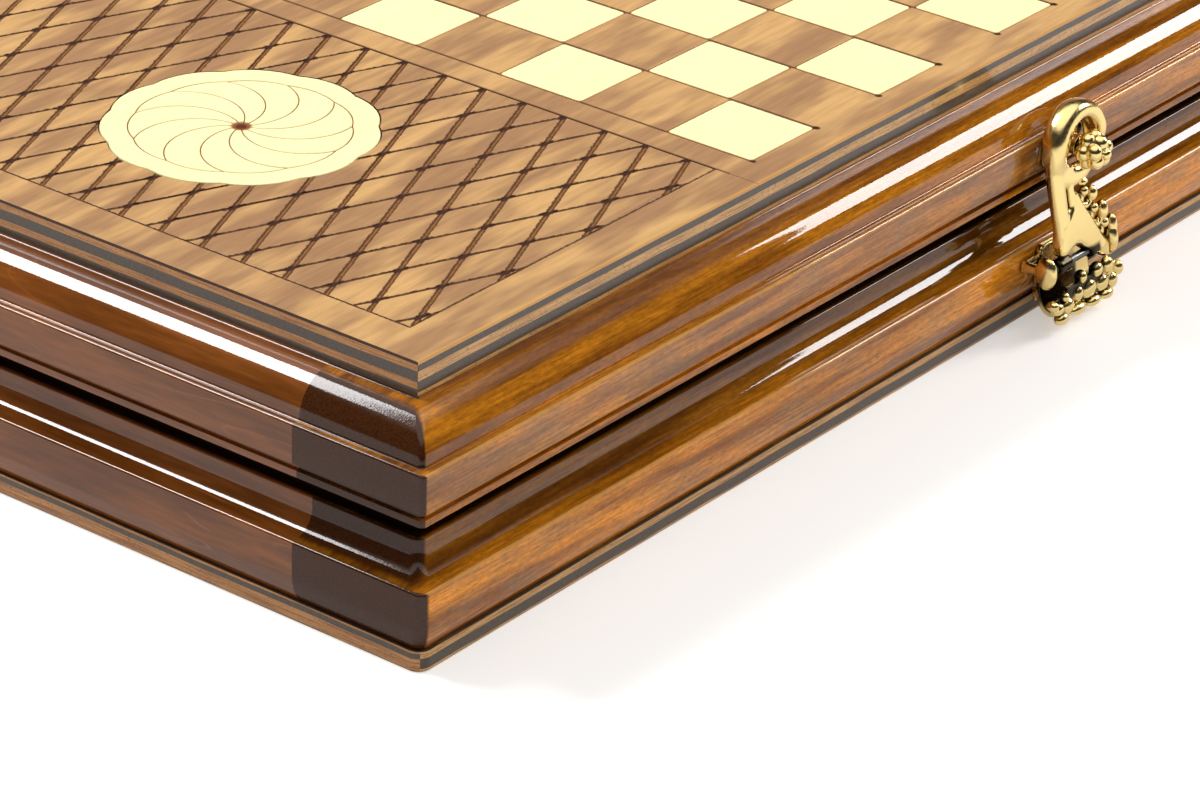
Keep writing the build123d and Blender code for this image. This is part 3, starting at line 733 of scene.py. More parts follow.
def medallion_shell(low, high, sizes, side):
    """Rosette: the point at (r, u) lies at angle u + twist(r), with twist from a circle's chord.

    A ray is an arc of radius q through the centre, so twist(r) = asin(r / 2q) - asin(R / 2q).
    A line of half width w covers the angle w / (r cos g), where tan g = r twist'(r).
    """
    lobes, q = sizes.lobes, sizes.ray_radius
    half_line = sizes.line / 2
    sector = 2 * math.pi / lobes
    inner = np.concatenate(
        [np.array([0.5, 1.2, 1.8, 2.4]) * MM, np.linspace(3.2 * MM, sizes.ring - 1.2 * half_line, 22)]
    )
    across = np.array([-1, -0.5, 0, 0.5, 1])
    rows, depths = [], []
    turn = math.radians(sizes.turn)

    def ring_of(radius):
        """Angles of one ring, how far each lies up a lobe, and the ray's groove across it."""
        slant = math.sqrt(4 * q * q - min(radius, sizes.ring) ** 2) / (2 * q)
        reach = min(half_line / (radius * slant), 0.3 * sector)
        local = np.concatenate([across * reach, np.linspace(reach, sector - reach, 9)[1:-1]])
        line = np.concatenate([1 - np.abs(across), np.zeros(7)])
        angle = (np.arange(lobes)[:, None] * sector + local[None, :]).ravel()
        share = (local % sector) / sector
        bulge = np.tile(1 - (2 * share - 1) ** 2, lobes)
        groove = np.tile(line, lobes)
        return angle, bulge, groove

    for radius in inner:
        angle, bulge, groove = ring_of(radius)
        share = radius / sizes.ring
        lobe = (sizes.ring_lobe - sizes.ring) * bulge * share**4
        twist = math.asin(radius / (2 * q)) - math.asin(sizes.ring / (2 * q))
        rows.append((radius + lobe, angle + turn + twist))
        star = np.clip(1 - (radius - 1.6 * MM) / (1.6 * MM), 0, 1)
        depths.append(np.maximum(groove, star * 0.9))
    for step in np.linspace(-1, 1, 5)[1:]:
        angle, bulge, groove = ring_of(sizes.ring)
        radius = sizes.ring + step * half_line + (sizes.ring_lobe - sizes.ring) * bulge
        rows.append((radius, angle + turn))
        depths.append(np.full(len(angle), 1 - abs(step)))
    angle, bulge, groove = ring_of(sizes.ring)
    rim_inner = sizes.ring + half_line + (sizes.ring_lobe - sizes.ring) * bulge
    rim_outer = sizes.dent + (sizes.outer - sizes.dent) * bulge
    ease = 0.25 * MM
    for share in (0.15, 0.5, 0.85):
        rows.append((rim_inner + share * (rim_outer - ease - rim_inner), angle + turn))
        depths.append(np.zeros(len(angle)))
    drops = []
    for step in np.linspace(0, math.pi / 2, 5):
        rows.append((rim_outer - ease * (1 - math.sin(step)), angle + turn))
        depths.append(np.zeros(len(angle)))
        drops.append(ease * (1 - math.cos(step)))
    burn = np.array(depths)
    z = high[2] - sizes.depth * burn
    z[-len(drops) :] -= np.array(drops)[:, None]
    radius = np.array([r for r, _ in rows])
    angle = np.array([a for _, a in rows])
    centre = side * sizes.centre
    upper = np.stack([centre + radius * np.cos(angle), radius * np.sin(angle), z], axis=-1)
    foot = upper[-1:].copy()
    foot[..., 2] = low[2]
    rings = np.concatenate([upper, foot])[::-1]
    burns = np.concatenate([burn, burn[-1:] * 0])[::-1]
    return skin(rings), burns.ravel()


# Clasp


def ellipsoid(centre, radii, across=20, up=12):
    """Ball with its own radius along each axis: centre + radii (cos a cos b, sin a cos b, sin b)."""
    b = np.linspace(-math.pi / 2, math.pi / 2, up + 1)[1:-1]
    a = np.linspace(0, 2 * math.pi, across, endpoint=False)
    rings = np.stack(
        [
            np.cos(b)[:, None] * np.cos(a)[None, :],
            np.cos(b)[:, None] * np.sin(a)[None, :],
            np.repeat(np.sin(b)[:, None], across, axis=1),
        ],
        axis=-1,
    )
    return skin(np.array(centre) + rings * np.array(radii))


def oval(square, around):
    """Section of half width 1: (cos t, sin t), each raised to 2 / square with its sign kept."""
    t = np.linspace(0, 2 * math.pi, around, endpoint=False)
    ways = np.array([np.cos(t), np.sin(t)])
    return np.sign(ways) * np.abs(ways) ** (2 / square)


def rod(path, width, thickness, out, square=2.0, around=20):
    """Rod along path[i]: ring i is path + width cos(t) s + thickness sin(t) out, s across the path.

    square is the power of the section's superellipse, 2 for an ellipse and more for a flatter one.
    """
    path = np.array(path, float)
    out = np.array(out, float)
    tangent = np.gradient(path, axis=0)
    tangent /= np.linalg.norm(tangent, axis=1)[:, None]
    across = np.cross(tangent, out)
    across /= np.linalg.norm(across, axis=1)[:, None]
    c, s = oval(square, around)
    width = np.broadcast_to(width, len(path))
    thickness = np.broadcast_to(thickness, len(path))
    rings = (
        path[:, None]
        + width[:, None, None] * c[None, :, None] * across[:, None]
        + thickness[:, None, None] * s[None, :, None] * out
    )
    return skin(rings)


def smooth_path(spots, steps=40):
    """Catmull-Rom curve through the spots."""
    spots = np.array(spots, float)
    padded = np.concatenate([2 * spots[:1] - spots[1:2], spots, 2 * spots[-1:] - spots[-2:-1]])
    count = len(spots) - 1
    t = np.linspace(0, count, steps + 1)
    piece = np.minimum(t.astype(int), count - 1)
    f = (t - piece)[:, None]
    p0, p1, p2, p3 = (padded[piece + k] for k in range(4))
    return 0.5 * (
        2 * p1 + (p2 - p0) * f + (2 * p0 - 5 * p1 + 4 * p2 - p3) * f**2
        + (3 * p1 - p0 - 3 * p2 + p3) * f**3
    )


def varied(values, steps=40):
    """Values spread smoothly over a path's points."""
    return np.interp(np.linspace(0, 1, steps + 1), np.linspace(0, 1, len(values)), values)


def in_arm_plane(shells, sizes):
    """Move shells from (across, up the arm, out of it) to the case."""
    lean = math.radians(sizes.lean)
    up = np.array([0, math.sin(lean), math.cos(lean)])
    out = np.array([0, -math.cos(lean), math.sin(lean)])
    origin = np.array([0, sizes.pin_y, sizes.pin_z])
    axes = np.array([[1, 0, 0], up, out])
    return [(origin + points @ axes, faces) for points, faces in shells]


def hood_shell(outer, outer_radius, hole, hole_radius, flat, deep, square=2.3):
    """Domed ring whose hole sits off its middle.

    At angle a about the hole, with e the offset of the middles along it, the section is an oval
    from the hole's edge to the outer circle, e + sqrt(R^2 - |offset|^2 + e^2) away. flat and deep
    are (half thickness, shift outward) at the foot and over the knob.
    """
    a = np.linspace(0, 2 * math.pi, 72, endpoint=False)
    shift = np.array(outer) - np.array(hole)
    along = np.cos(a) * shift[0] + np.sin(a) * shift[1]
    far = along + np.sqrt(outer_radius**2 - shift @ shift + along**2)
    c, s = oval(square, 24)
    middle, half = (far + hole_radius) / 2, (far - hole_radius) / 2
    reach = middle[:, None] + half[:, None] * c[None, :]
    share = np.clip((np.sin(a) + 0.75) / 1.1, 0, 1)
    share = (3 * share**2 - 2 * share**3)[:, None]
    thick = flat[0] + (deep[0] - flat[0]) * share
    shift_out = flat[1] + (deep[1] - flat[1]) * share
    rings = np.stack(
        [
            hole[0] + np.cos(a)[:, None] * reach,
            hole[1] + np.sin(a)[:, None] * reach,
            shift_out + thick * s[None, :],
        ],
        axis=-1,
    )
    return skin(rings, joined=True)


def arm_shells():
    """Clasp arm in its own plane, as two lists of shells.

    The first holds the hood, strap, second strand, flared body and legs, which melt together.
    The second holds the leaves and beads, which stand proud of them.
    Places are (across, up from the pin, out of the arm), in millimetres.
    """
    out = (0, 0, 1)
    shells = [hood_shell((-1.2, 30.9), 11.7, (0.3, 31.0), 6.2, (1.8, 0.1), (3.5, 0.9))]
    # Strap down the left side and the second strand beside it: points, half widths, half depths
    for spots, wide, deep, square in (
        (
            [(-9.6, 30, 0), (-8.7, 23, 0), (-7.7, 16, 0), (-6.5, 10, 0), (-6.4, 6, 0), (-7.4, 3, 0)],
            [2.7, 2.75, 2.7, 2.8, 2.8, 1.9],
            [1.9, 1.9, 1.8, 1.8, 1.8, 1.5],
            2.6,
        ),
        (
            [(-3.6, 26, 0), (-3.6, 21, 0), (-2.8, 16, 0), (-0.6, 9, 0)],
            [1.5, 1.25, 1.5, 3.0],
            [1.6, 1.7, 1.8, 1.9],
            2.2,
        ),
    ):
        shells.append(rod(smooth_path(spots), varied(wide), varied(deep), out, square))
    # Flared body, counter-clockwise from its lower right corner: right side, crest, left, arch
    right = [(12.9, -3.6), (12.9, -0.4), (9.2, 4.0), (5.4, 9.2), (1.6, 14.2), (-1.4, 18.6)]
    left = [(-3.0, 18.6), (-4.0, 14.6), (-5.6, 12.4), (-8.6, 10.6), (-9.2, 5.4), (-8.9, 2.8)]
    arch = [(-6.8, 2.2), (-4.6, 3.4), (-2.2, 3.9), (-0.3, 3.2), (2.2, 1.2), (4.5, -0.4)]
    foot = [(8.0, -2.6), (10.6, -3.8)]
    for way in (1, -1):
        points, faces = plate(np.array(right + left + arch + foot), 0, 1.95, 1.3, 7)
        shells.append((points * (1, 1, way), faces))
    ornaments = []
    # Leaves down the right side: place, half height, and the place of the bead beside it
    for x, up, tall, bead in (
        (5.8, 15.4, 2.2, (2.1, 17.2)),
        (10.5, 9.3, 2.7, (6.4, 11.2)),
        (14.6, 3.6, 3.3, (11.0, 5.7)),
    ):
        ornaments.append(ellipsoid((x, up, 0.9), (1.6, tall, 1.7)))
        spots = [(x - 4.0, up - 2.6, 0), (x - 1.6, up - tall - 0.4, 0.2), (x, up - 1.0, 0.5)]
        curl = smooth_path(spots)
        ornaments.append(rod(curl, varied([1.5, 1.1, 0.8]), varied([1.3, 1.2, 1.1]), out))
        ornaments.append(ellipsoid((bead[0], bead[1], 1.1), (1.4, 1.4, 1.3)))
        ornaments.append(ellipsoid((bead[0] - 0.8, bead[1] - 2.0, 0.0), (1.9, 1.9, 1.3)))
    ornaments.append(ellipsoid((1.6, 20.0, 0.9), (1.9, 1.1, 1.6)))
    # Knuckles of the two legs, round the pin
    for middle in (-7.25, 7.25):
        path = [(middle - 2.75, 0, 0), (middle + 2.75, 0, 0)]
        shells.append(rod(path, 2.2, 2.2, out, 2.0, 28))
    return [[(points * MM, faces) for points, faces in part] for part in (shells, ornaments)]


def on_ball(centre, reach, tilt, turn):
    """Place on a ball that faces -Y: tilt away from -Y, turn about it, both in degrees."""
    tilt, turn = math.radians(tilt), math.radians(turn)
    way = (math.sin(tilt) * math.cos(turn), -math.cos(tilt), math.sin(tilt) * math.sin(turn))
    return np.array(centre) + reach * np.array(way)


def on_band(loop, thickness, ease):
    """Plate on the front bands from a loop of (across, height), all in millimetres."""
    band_y, gap = -125.0, 0.05
    points, faces = plate(loop, gap, thickness, ease, 4)
    return np.column_stack([points[:, 0], band_y - points[:, 2], points[:, 1]]), faces


def keeper_shells():
    """Keeper: plate with rounded corners, neck, and a knob cast as a flower of plump petals.

    Places are the case's own, in millimetres.
    """
    shells = [on_band(rectangle((-8.5, 41.7), (8.5, 50.1), 2.0, 6), 1.2, 0.45)]
    neck = np.array([(0, -125.2, 47.4), (0, -128, 47.3), (0, -131, 47.2)], float)
    shells.append(rod(neck, [3.6, 2.7, 2.8], [3.6, 2.7, 2.8], (0, 0, 1), 2.0, 28))
    knob = (0.0, -134.6, 47.1)
    shells.append(ellipsoid(knob, (3.9, 3.9, 3.9)))
    shells.append(ellipsoid(on_ball(knob, 4.4, 0, 0), (1.5, 1.1, 1.5)))
    # Rings of petals: how many, tilt, reach, radius and the first one's turn
    for count, tilt, reach, size, first in ((5, 50, 3.2, 2.25, 20), (6, 102, 3.2, 2.2, 0)):
        for index in range(count):
            place = on_ball(knob, reach, tilt, first + 360 * index / count)
            shells.append(ellipsoid(place, (size, size, size)))
    return [(points * MM, faces) for points, faces in shells]


def trough_shells():
    """Clasp base: plate on the band, U-shaped trough, a boss of petals and two domed ears.

    Places are the case's own, in millimetres. The trough's section is half an ellipse inside
    another about the same middle (y, z), cut off flat in front.
    """
    shells = []
    middle_y, middle_z, front = -131.3, 12.0, -136.2
    down = np.linspace(0, -math.pi, 25)
    outer = [(middle_y + 5.4 * math.cos(a), middle_z + 9.6 * math.sin(a)) for a in down]
    inner = [(middle_y + 3.6 * math.cos(a), middle_z + 7.8 * math.sin(a)) for a in down[::-1]]
    section = np.array(outer + inner)
    section[:, 0] = np.maximum(section[:, 0], front)
    rings = [
        np.column_stack([np.full(len(section), x), section[:, 0], section[:, 1]])
        for x in np.linspace(-9.0, 13.5, 9)
    ]
    shells.append(skin(np.array(rings)))
    shells.append(on_band(rectangle((-8.0, 4.5), (11.0, 20.3), 1.6, 5), 1.9, 0.6))
    petals_y, petals_deep = -135.8, 1.75
    # Petals of the boss: across, height, then half width and half height
    for x, height, wide, tall in (
        (-2.5, 13.0, 1.5, 1.9),
        (4.6, 12.5, 2.3, 2.1),
        (9.6, 12.1, 2.1, 2.3),
        (15.0, 9.4, 1.5, 2.1),
        (1.5, 8.3, 3.1, 2.7),
        (7.6, 7.8, 2.6, 2.4),
        (12.4, 6.8, 2.0, 2.3),
        (-3.8, 8.8, 1.9, 2.2),
        (-2.8, 4.2, 3.6, 1.6),
        (4.4, 3.9, 3.0, 1.5),
        (10.4, 3.7, 2.7, 1.5),
        (-10.1, 3.9, 2.7, 1.7),
        (-8.2, 6.9, 2.6, 2.2),
        (-10.2, 10.2, 1.4, 1.4),
        (-12.6, 7.4, 2.0, 1.8),
        (-14.8, 9.0, 1.4, 1.4),
    ):
        shells.append(ellipsoid((x, petals_y, height), (wide, petals_deep, tall)))
    # Domed ears at the pin's ends, each on a strut from the band and a rib from the plate
    for way in (-1, 1):
        shells.append(ellipsoid((way * 14.2, -132.8, 17.0), (1.8, 3.1, 4.5)))
        ear = way * 13.9
        strut = [(ear, -125.3, 16.6), (ear, -129, 16.8), (ear, -132, 17)]
        shells.append(rod(strut, [1.7, 1.5, 1.5], 1.0, (1, 0, 0), 2.5))
        rib = [(way * 7.0, -126.0, 16.4), (ear, -126.0, 16.4)]
        shells.append(rod(rib, 1.8, 0.9, (0, 1, 0), 2.5))
    return [(points * MM, faces) for points, faces in shells]


# Materials

# Settings that many nodes share: a smooth map range, a colour laid over another, and a product
SMOOTH = {"interpolation_type": "SMOOTHSTEP"}
MIXED = {"data_type": "RGBA", "out": 2}
TIMES = {"data_type": "RGBA", "blend_type": "MULTIPLY", "out": 2}
# Thick varnish, whose gloss all lies in the coat
CLEAR_COAT = {"coat_ior": 1.48, "specular_ior_level": 0.0}


def node(tree, kind, inputs=(), out=0, **settings):
    """Add a shader node and give one of its outputs.

    inputs has a value or a linked output per socket, as a list in the sockets' order or a dict.
    """
    made = tree.nodes.new(f"ShaderNode{kind}")
    for key, value in settings.items():
        setattr(made, key, value)
    for key, value in inputs.items() if isinstance(inputs, dict) else enumerate(inputs):
        if isinstance(value, bpy.types.NodeSocket):
            tree.links.new(value, made.inputs[key])
        else:
            made.inputs[key].default_value = value
    return made.outputs[out] if made.outputs else made


def new_tree(name):
    """Empty material of that name and its node tree."""
    finish = bpy.data.materials.new(name)
    finish.use_nodes = True
    finish.node_tree.nodes.clear()
    return finish, finish.node_tree


def grain(tree, size, turn=0.0, detail=3.0, seed=0.0):
    """Noise on the object's own place, its features as long as size along each axis, in mm."""
    inputs = {
        "Vector": node(tree, "TexCoord", out="Object"),
        "Location": (seed, seed * 0.7, seed * 0.3),
        "Rotation": (0, 0, math.radians(turn)),
        "Scale": [s * MM for s in size],
    }
    scaled = node(tree, "Mapping", inputs, vector_type="TEXTURE")
    inputs = {"Vector": scaled, "Scale": 1.0, "Detail": detail, "Roughness": 0.55}
    return node(tree, "TexNoise", inputs)


def finish_surface(tree, colour, roughness, relief=None, coat_relief=None, **fixed):
    """Shader; relief and coat_relief are (height, how high a height of 1 stands, in mm)."""
    inputs = {"Base Color": colour, "Roughness": roughness}
    for key, value in fixed.items():
        inputs[key.replace("_", " ").title().replace("Ior", "IOR")] = value
    for socket, pair in (("Normal", relief), ("Coat Normal", coat_relief)):
        if pair:
            bump = {"Strength": 1.0, "Distance": pair[1] * MM, "Height": pair[0]}
            inputs[socket] = node(tree, "Bump", bump)
    node(tree, "OutputMaterial", [node(tree, "BsdfPrincipled", inputs)])


def place_on(tree, kind="Object"):
    """The three parts of the object's own place, or of its normal."""
    place = node(tree, "TexCoord", out=kind)
    return list(node(tree, "SeparateXYZ", [place]).node.outputs)


def stained_colour(tree, woods, turn=2.0):
    """Stained veneer: grey-brown and golden patches under fine streaks, and its fibre."""
    patch = node(tree, "MapRange", [grain(tree, (38, 9, 20), turn, 2.0), 0.38, 0.66], **SMOOTH)
    streak = node(
        tree, "MapRange", [grain(tree, (20, 1.5, 8), turn, 3.0), 0.3, 0.7, 0.9, 1.07], **SMOOTH
    )
    fibre = node(
        tree, "MapRange", [grain(tree, (5, 0.28, 3), turn, 2.0), 0.3, 0.7, 0.94, 1.05], **SMOOTH
    )
    base = node(tree, "Mix", {0: patch, 6: woods.veneer, 7: woods.veneer_gold}, **MIXED)
    both = node(tree, "Math", [streak, fibre], operation="MULTIPLY")
    return node(tree, "Mix", {0: 1.0, 6: base, 7: both}, **TIMES), fibre


def seam_mark(tree, x, y, sizes):
    """Share of the dark line between the chess sheet and a lattice."""
    away = node(tree, "Math", [x, sizes.lattice_near], operation="SUBTRACT")
    away = node(tree, "Math", [away], operation="ABSOLUTE")
    line = node(tree, "MapRange", [away, 0.25 * MM, 0.6 * MM, 0.85, 0.0], **SMOOTH)
    ends = node(
        tree,
        "MapRange",
        [y, 4 * sizes.square_pitch, 4 * sizes.square_pitch + 0.6 * MM, 1.0, 0.0],
        **SMOOTH,
    )
    return node(tree, "Math", [line, ends], operation="MULTIPLY")


def varnish_veneer(tree, colour, fibre, line):
    """Satin varnish that gives way to dull bare wood where line is 1, in the engraving."""
    rough = node(tree, "MapRange", [line, 0.0, 0.6, 0.42, 0.9], **SMOOTH)
    gloss = node(tree, "MapRange", [line, 0.0, 0.4, 0.14, 0.0], **SMOOTH)
    shine = {"coat_weight": gloss, "coat_roughness": 0.2, "specular_ior_level": 0.25}
    finish_surface(tree, colour, rough, (fibre, 0.02), **shine)


def make_chess_veneer(name, woods, sizes):
    """Satin stained veneer with a scorched line along each column and a burnt dot at its ends."""
    finish, tree = new_tree(name)
    colour, fibre = stained_colour(tree, woods)
    parts = place_on(tree)
    x = node(tree, "Math", [parts[0]], operation="ABSOLUTE")
    y = node(tree, "Math", [parts[1]], operation="ABSOLUTE")
    board = 4 * sizes.square_pitch
    wobble = node(tree, "Math", [grain(tree, (1.2, 1.2, 1.2)), 0.3 * MM], operation="MULTIPLY")
    away = node(tree, "Math", [x, sizes.square_pitch / 2], operation="PINGPONG")
    rough = node(tree, "Math", [away, wobble], operation="ADD")
    line = node(tree, "MapRange", [rough, 0.42 * MM, 0.7 * MM, 0.9, 0.0], **SMOOTH)
    on_board = node(tree, "MapRange", [x, board + 0.4 * MM, board + 0.8 * MM, 1.0, 0.0], **SMOOTH)
    ends = node(tree, "MapRange", [y, board, board + 0.5 * MM, 1.0, 0.0], **SMOOTH)
    past_end = node(tree, "Math", [y, board], operation="SUBTRACT")
    squares = [node(tree, "Math", [d, 2.0], operation="POWER") for d in (rough, past_end)]
    total = node(tree, "Math", squares, operation="ADD")
    away = node(tree, "Math", [total], operation="SQRT")
    dot = node(tree, "MapRange", [away, 0.7 * MM, 1.4 * MM, 1.0, 0.0], **SMOOTH)
    line = node(tree, "Math", [line, ends], operation="MULTIPLY")
    line = node(tree, "Math", [line, on_board], operation="MULTIPLY")
    dot = node(tree, "Math", [dot, on_board], operation="MULTIPLY")
    line = node(tree, "Math", [line, seam_mark(tree, x, y, sizes)], operation="MAXIMUM")
    colour = highlight_and_cut_edges(tree, colour, woods, sizes)
    colour = node(tree, "Mix", {0: line, 6: colour, 7: woods.groove}, **MIXED)
    colour = node(tree, "Mix", {0: dot, 6: colour, 7: woods.burnt_dark}, **MIXED)
    varnish_veneer(tree, colour, fibre, line)
    return finish


def make_lattice_veneer(name, woods, sizes):
    """Satin stained veneer with the lattice burnt into it: wide lines with an amber core."""
    finish, tree = new_tree(name)
    colour, fibre = stained_colour(tree, woods)
    thick, core, thin, spot, rim, seam = lattice_marks(tree, sizes)
    colour = highlight_and_cut_edges(tree, colour, woods, sizes)
    line = 0.0
    for share, burn in (
        (thin, woods.burnt_thin),
        (thick, woods.burnt_thin),
        (core, woods.burnt),
        (rim, woods.burnt_thin),
        (seam, woods.groove),
        (spot, woods.burnt_dark),
    ):
        colour = node(tree, "Mix", {0: share, 6: colour, 7: burn}, **MIXED)
        line = node(tree, "Math", [line, share], operation="MAXIMUM")
    varnish_veneer(tree, colour, fibre, line)
    return finish


def highlight_and_cut_edges(tree, colour, woods, sizes):
    """Colour with a painted highlight along the veneer's long edges, and its cut sides, dark across
    the grain.
    """
    place, normal = place_on(tree), place_on(tree, "Normal")
    y = node(tree, "Math", [place[1]], operation="ABSOLUTE")
    across = node(tree, "Math", [normal[0]], operation="ABSOLUTE")
    # Painted highlight: the last millimetre before each long edge turns light gold
    highlight_share = node(
        tree, "MapRange", [y, sizes.sheet_half - 1.0 * MM, sizes.sheet_half, 0.0, 0.7], **SMOOTH
    )
    colour = node(tree, "Mix", {0: highlight_share, 6: colour, 7: woods.edge_highlight}, **MIXED)
    low = node(
        tree,
        "MapRange",
        [place[2], sizes.top - 0.3 * MM, sizes.top - 0.07 * MM, 0.9, 0.0],
        **SMOOTH,
    )
    outer = node(
        tree,
        "MapRange",
        [y, sizes.sheet_half - 0.3 * MM, sizes.sheet_half - 0.1 * MM, 1.0, 0.0],
        **SMOOTH,
    )
    inner_low = node(tree, "Math", [low, outer], operation="MULTIPLY")
    colour = node(tree, "Mix", {0: inner_low, 6: colour, 7: woods.burnt_edge}, **MIXED)
    sawn = node(tree, "MapRange", [across, 0.6, 0.8], **SMOOTH)
    return node(tree, "Mix", {0: sawn, 6: colour, 7: woods.burnt_dark}, **MIXED)


def lattice_marks(tree, sizes):
    """Shares of wide line, its core, thin line, burnt crossing, frame line and seam.

    A line of each direction passes where y -+ slope |x| - start is a whole number of cells, so
    the distance to it along Y is a ping-pong of that. |x| serves both ends.
    """
    parts = place_on(tree)
    x = node(tree, "Math", [parts[0]], operation="ABSOLUTE")
    y = node(tree, "Math", [parts[1]], operation="ABSOLUTE")
    wobble = grain(tree, (1.3, 1.3, 1.3), 0, 2.0)
    wobble = node(tree, "Math", [wobble, 0.5], operation="SUBTRACT")
    slope = sizes.cell_width / sizes.cell_length
    distances = []
    for way in (1, -1):
        start = sizes.first_y - way * slope * sizes.first_x - 50 * sizes.cell_width
        value = node(tree, "Math", [x, way * slope, parts[1]], operation="MULTIPLY_ADD")
        value = node(tree, "Math", [value, start], operation="SUBTRACT")
        distances.append(node(tree, "Math", [value, sizes.cell_width / 2], operation="PINGPONG"))
    near = []
    for value, reach, soft, most in (
        (distances[0], sizes.thick_line / 2, 0.45 * MM, 0.98),
        (distances[0], 0.05 * MM, 0.4 * MM, 0.85),
        (distances[1], sizes.thin_line / 2, 0.35 * MM, 0.95),
    ):
        rough = node(tree, "Math", [wobble, 0.9 * MM, value], operation="MULTIPLY_ADD")
        near.append(node(tree, "MapRange", [rough, reach, reach + soft, most, 0.0], **SMOOTH))
    narrow = node(tree, "Math", [distances[1], 1.7], operation="MULTIPLY")
    squares = [node(tree, "Math", [d, 2.0], operation="POWER") for d in (distances[0], narrow)]
    away = node(tree, "Math", [node(tree, "Math", squares, operation="ADD")], operation="SQRT")
    rough = node(tree, "Math", [wobble, 2.6 * MM, away], operation="MULTIPLY_ADD")
    spot = node(tree, "MapRange", [rough, 1.4 * MM, 2.4 * MM, 0.95, 0.0], **SMOOTH)
    inside = node(
        tree, "MapRange", [x, sizes.lattice_near - 0.6 * MM, sizes.lattice_near], **SMOOTH
    )
    far = node(
        tree,
        "MapRange",
        [x, sizes.lattice_far + 0.1 * MM, sizes.lattice_far + 0.5 * MM, 1.0, 0.0],
        **SMOOTH,
    )
    half = sizes.lattice_half
    side = node(tree, "MapRange", [y, half + 0.1 * MM, half + 0.5 * MM, 1.0, 0.0], **SMOOTH)
    mask = node(tree, "Math", [inside, far], operation="MULTIPLY")
    mask = node(tree, "Math", [mask, side], operation="MULTIPLY")
    marks = [node(tree, "Math", [share, mask], operation="MULTIPLY") for share in (*near, spot)]
    past_end = node(tree, "Math", [x, sizes.lattice_far], operation="SUBTRACT")
    past_side = node(tree, "Math", [y, half], operation="SUBTRACT")
    past = node(tree, "Math", [past_end, past_side], operation="MAXIMUM")
    past = node(tree, "Math", [past], operation="ABSOLUTE")
    rough = node(tree, "Math", [wobble, 0.5 * MM, past], operation="MULTIPLY_ADD")
    rim = node(tree, "MapRange", [rough, 0.25 * MM, 0.5 * MM, 0.9, 0.0], **SMOOTH)
    rim = node(tree, "Math", [rim, inside], operation="MULTIPLY")
    return *marks, rim, seam_mark(tree, x, y, sizes)


def make_pale_veneer(name, woods, sizes, engraved):
    """Satin maple: cream with faint streaks, and brown where the engraving tool went."""
    finish, tree = new_tree(name)
    streak = node(
        tree, "MapRange", [grain(tree, (18, 1.4, 8), 8.0), 0.3, 0.7, 0.95, 1.02], **SMOOTH
    )
    colour = node(tree, "Mix", {0: 1.0, 6: woods.pale, 7: streak}, **TIMES)
    if engraved:
        burn = node(tree, "Attribute", out="Fac", attribute_name="burn")
        line = node(tree, "MapRange", [burn, 0.1, 0.7], **SMOOTH)
        spot = node(tree, "MapRange", [burn, 0.86, 0.9, 0.0, 0.8], **SMOOTH)
        colour = node(tree, "Mix", {0: line, 6: colour, 7: woods.pale_line}, **MIXED)
        colour = node(tree, "Mix", {0: spot, 6: colour, 7: woods.burnt_dark}, **MIXED)
    else:
        z = place_on(tree)[2]
        low = node(
            tree, "MapRange", [z, sizes.top - 0.18 * MM, sizes.top - 0.04 * MM, 1.0, 0.0], **SMOOTH
        )
        colour = node(tree, "Mix", {0: low, 6: colour, 7: woods.pale_edge}, **MIXED)
    shine = {"coat_weight": 0.06, "coat_roughness": 0.25, "specular_ior_level": 0.15}
    finish_surface(tree, colour, 0.5, (streak, 0.01), **shine)
    return finish


def make_plywood(name, woods, bands_front, bands_end):
    """Cross-banded birch board: each ply shows as gold along the grain and dark across it."""
    finish, tree = new_tree(name)
    facing = node(tree, "Math", [place_on(tree, "Normal")[0]], operation="ABSOLUTE")
    is_end = node(tree, "Math", [facing, 0.7], operation="GREATER_THAN")
    speck = grain(tree, (0.8, 0.8, 0.3), 0, 2.0)
    long_streak = grain(tree, (14, 14, 0.35), 0, 3.0)
    wave = node(
        tree,
        "MapRange",
        [grain(tree, (25, 25, 40), 0, 1.0), 0.3, 0.7, -0.12 * MM, 0.12 * MM],
        **SMOOTH,
    )
    z = node(tree, "Math", [place_on(tree)[2], wave], operation="ADD")
    streaks = node(tree, "MapRange", [long_streak, 0.35, 0.7], **SMOOTH)
    gold = node(tree, "Mix", {0: streaks, 6: woods.ply_gold, 7: woods.ply_streak}, **MIXED)
    spots = node(tree, "MapRange", [speck, 0.58, 0.68, 0.0, 0.6], **SMOOTH)
    gold = node(tree, "Mix", {0: spots, 6: gold, 7: woods.ply_dark}, **MIXED)
    grit = node(tree, "MapRange", [speck, 0.35, 0.65, 1.15, 0.75], **SMOOTH)
    dark = node(tree, "Mix", {0: 1.0, 6: woods.ply_dark, 7: grit}, **TIMES)
    faces = []
    end_gold = node(tree, "Mix", {0: 1.0, 6: gold, 7: woods.ply_end}, **TIMES)
    for bands, ply in ((bands_front, gold), (bands_end, end_gold)):
        share = 0.0
        for low, high in bands:
            rise = node(tree, "MapRange", [z, (low - 0.06) * MM, (low + 0.06) * MM], **SMOOTH)
            fall = node(
                tree, "MapRange", [z, (high - 0.06) * MM, (high + 0.06) * MM, 1.0, 0.0], **SMOOTH
            )
            band = node(tree, "Math", [rise, fall], operation="MULTIPLY")
            share = node(tree, "Math", [share, band], operation="MAXIMUM")
        faces.append(node(tree, "Mix", {0: share, 6: ply, 7: dark}, **MIXED))
    colour = node(tree, "Mix", {0: is_end, 6: faces[0], 7: faces[1]}, **MIXED)
    shine = {"coat_weight": 0.6, "coat_roughness": 0.12, "specular_ior_level": 0.2}
    finish_surface(tree, colour, 0.4, (speck, 0.02), **shine)
    return finish


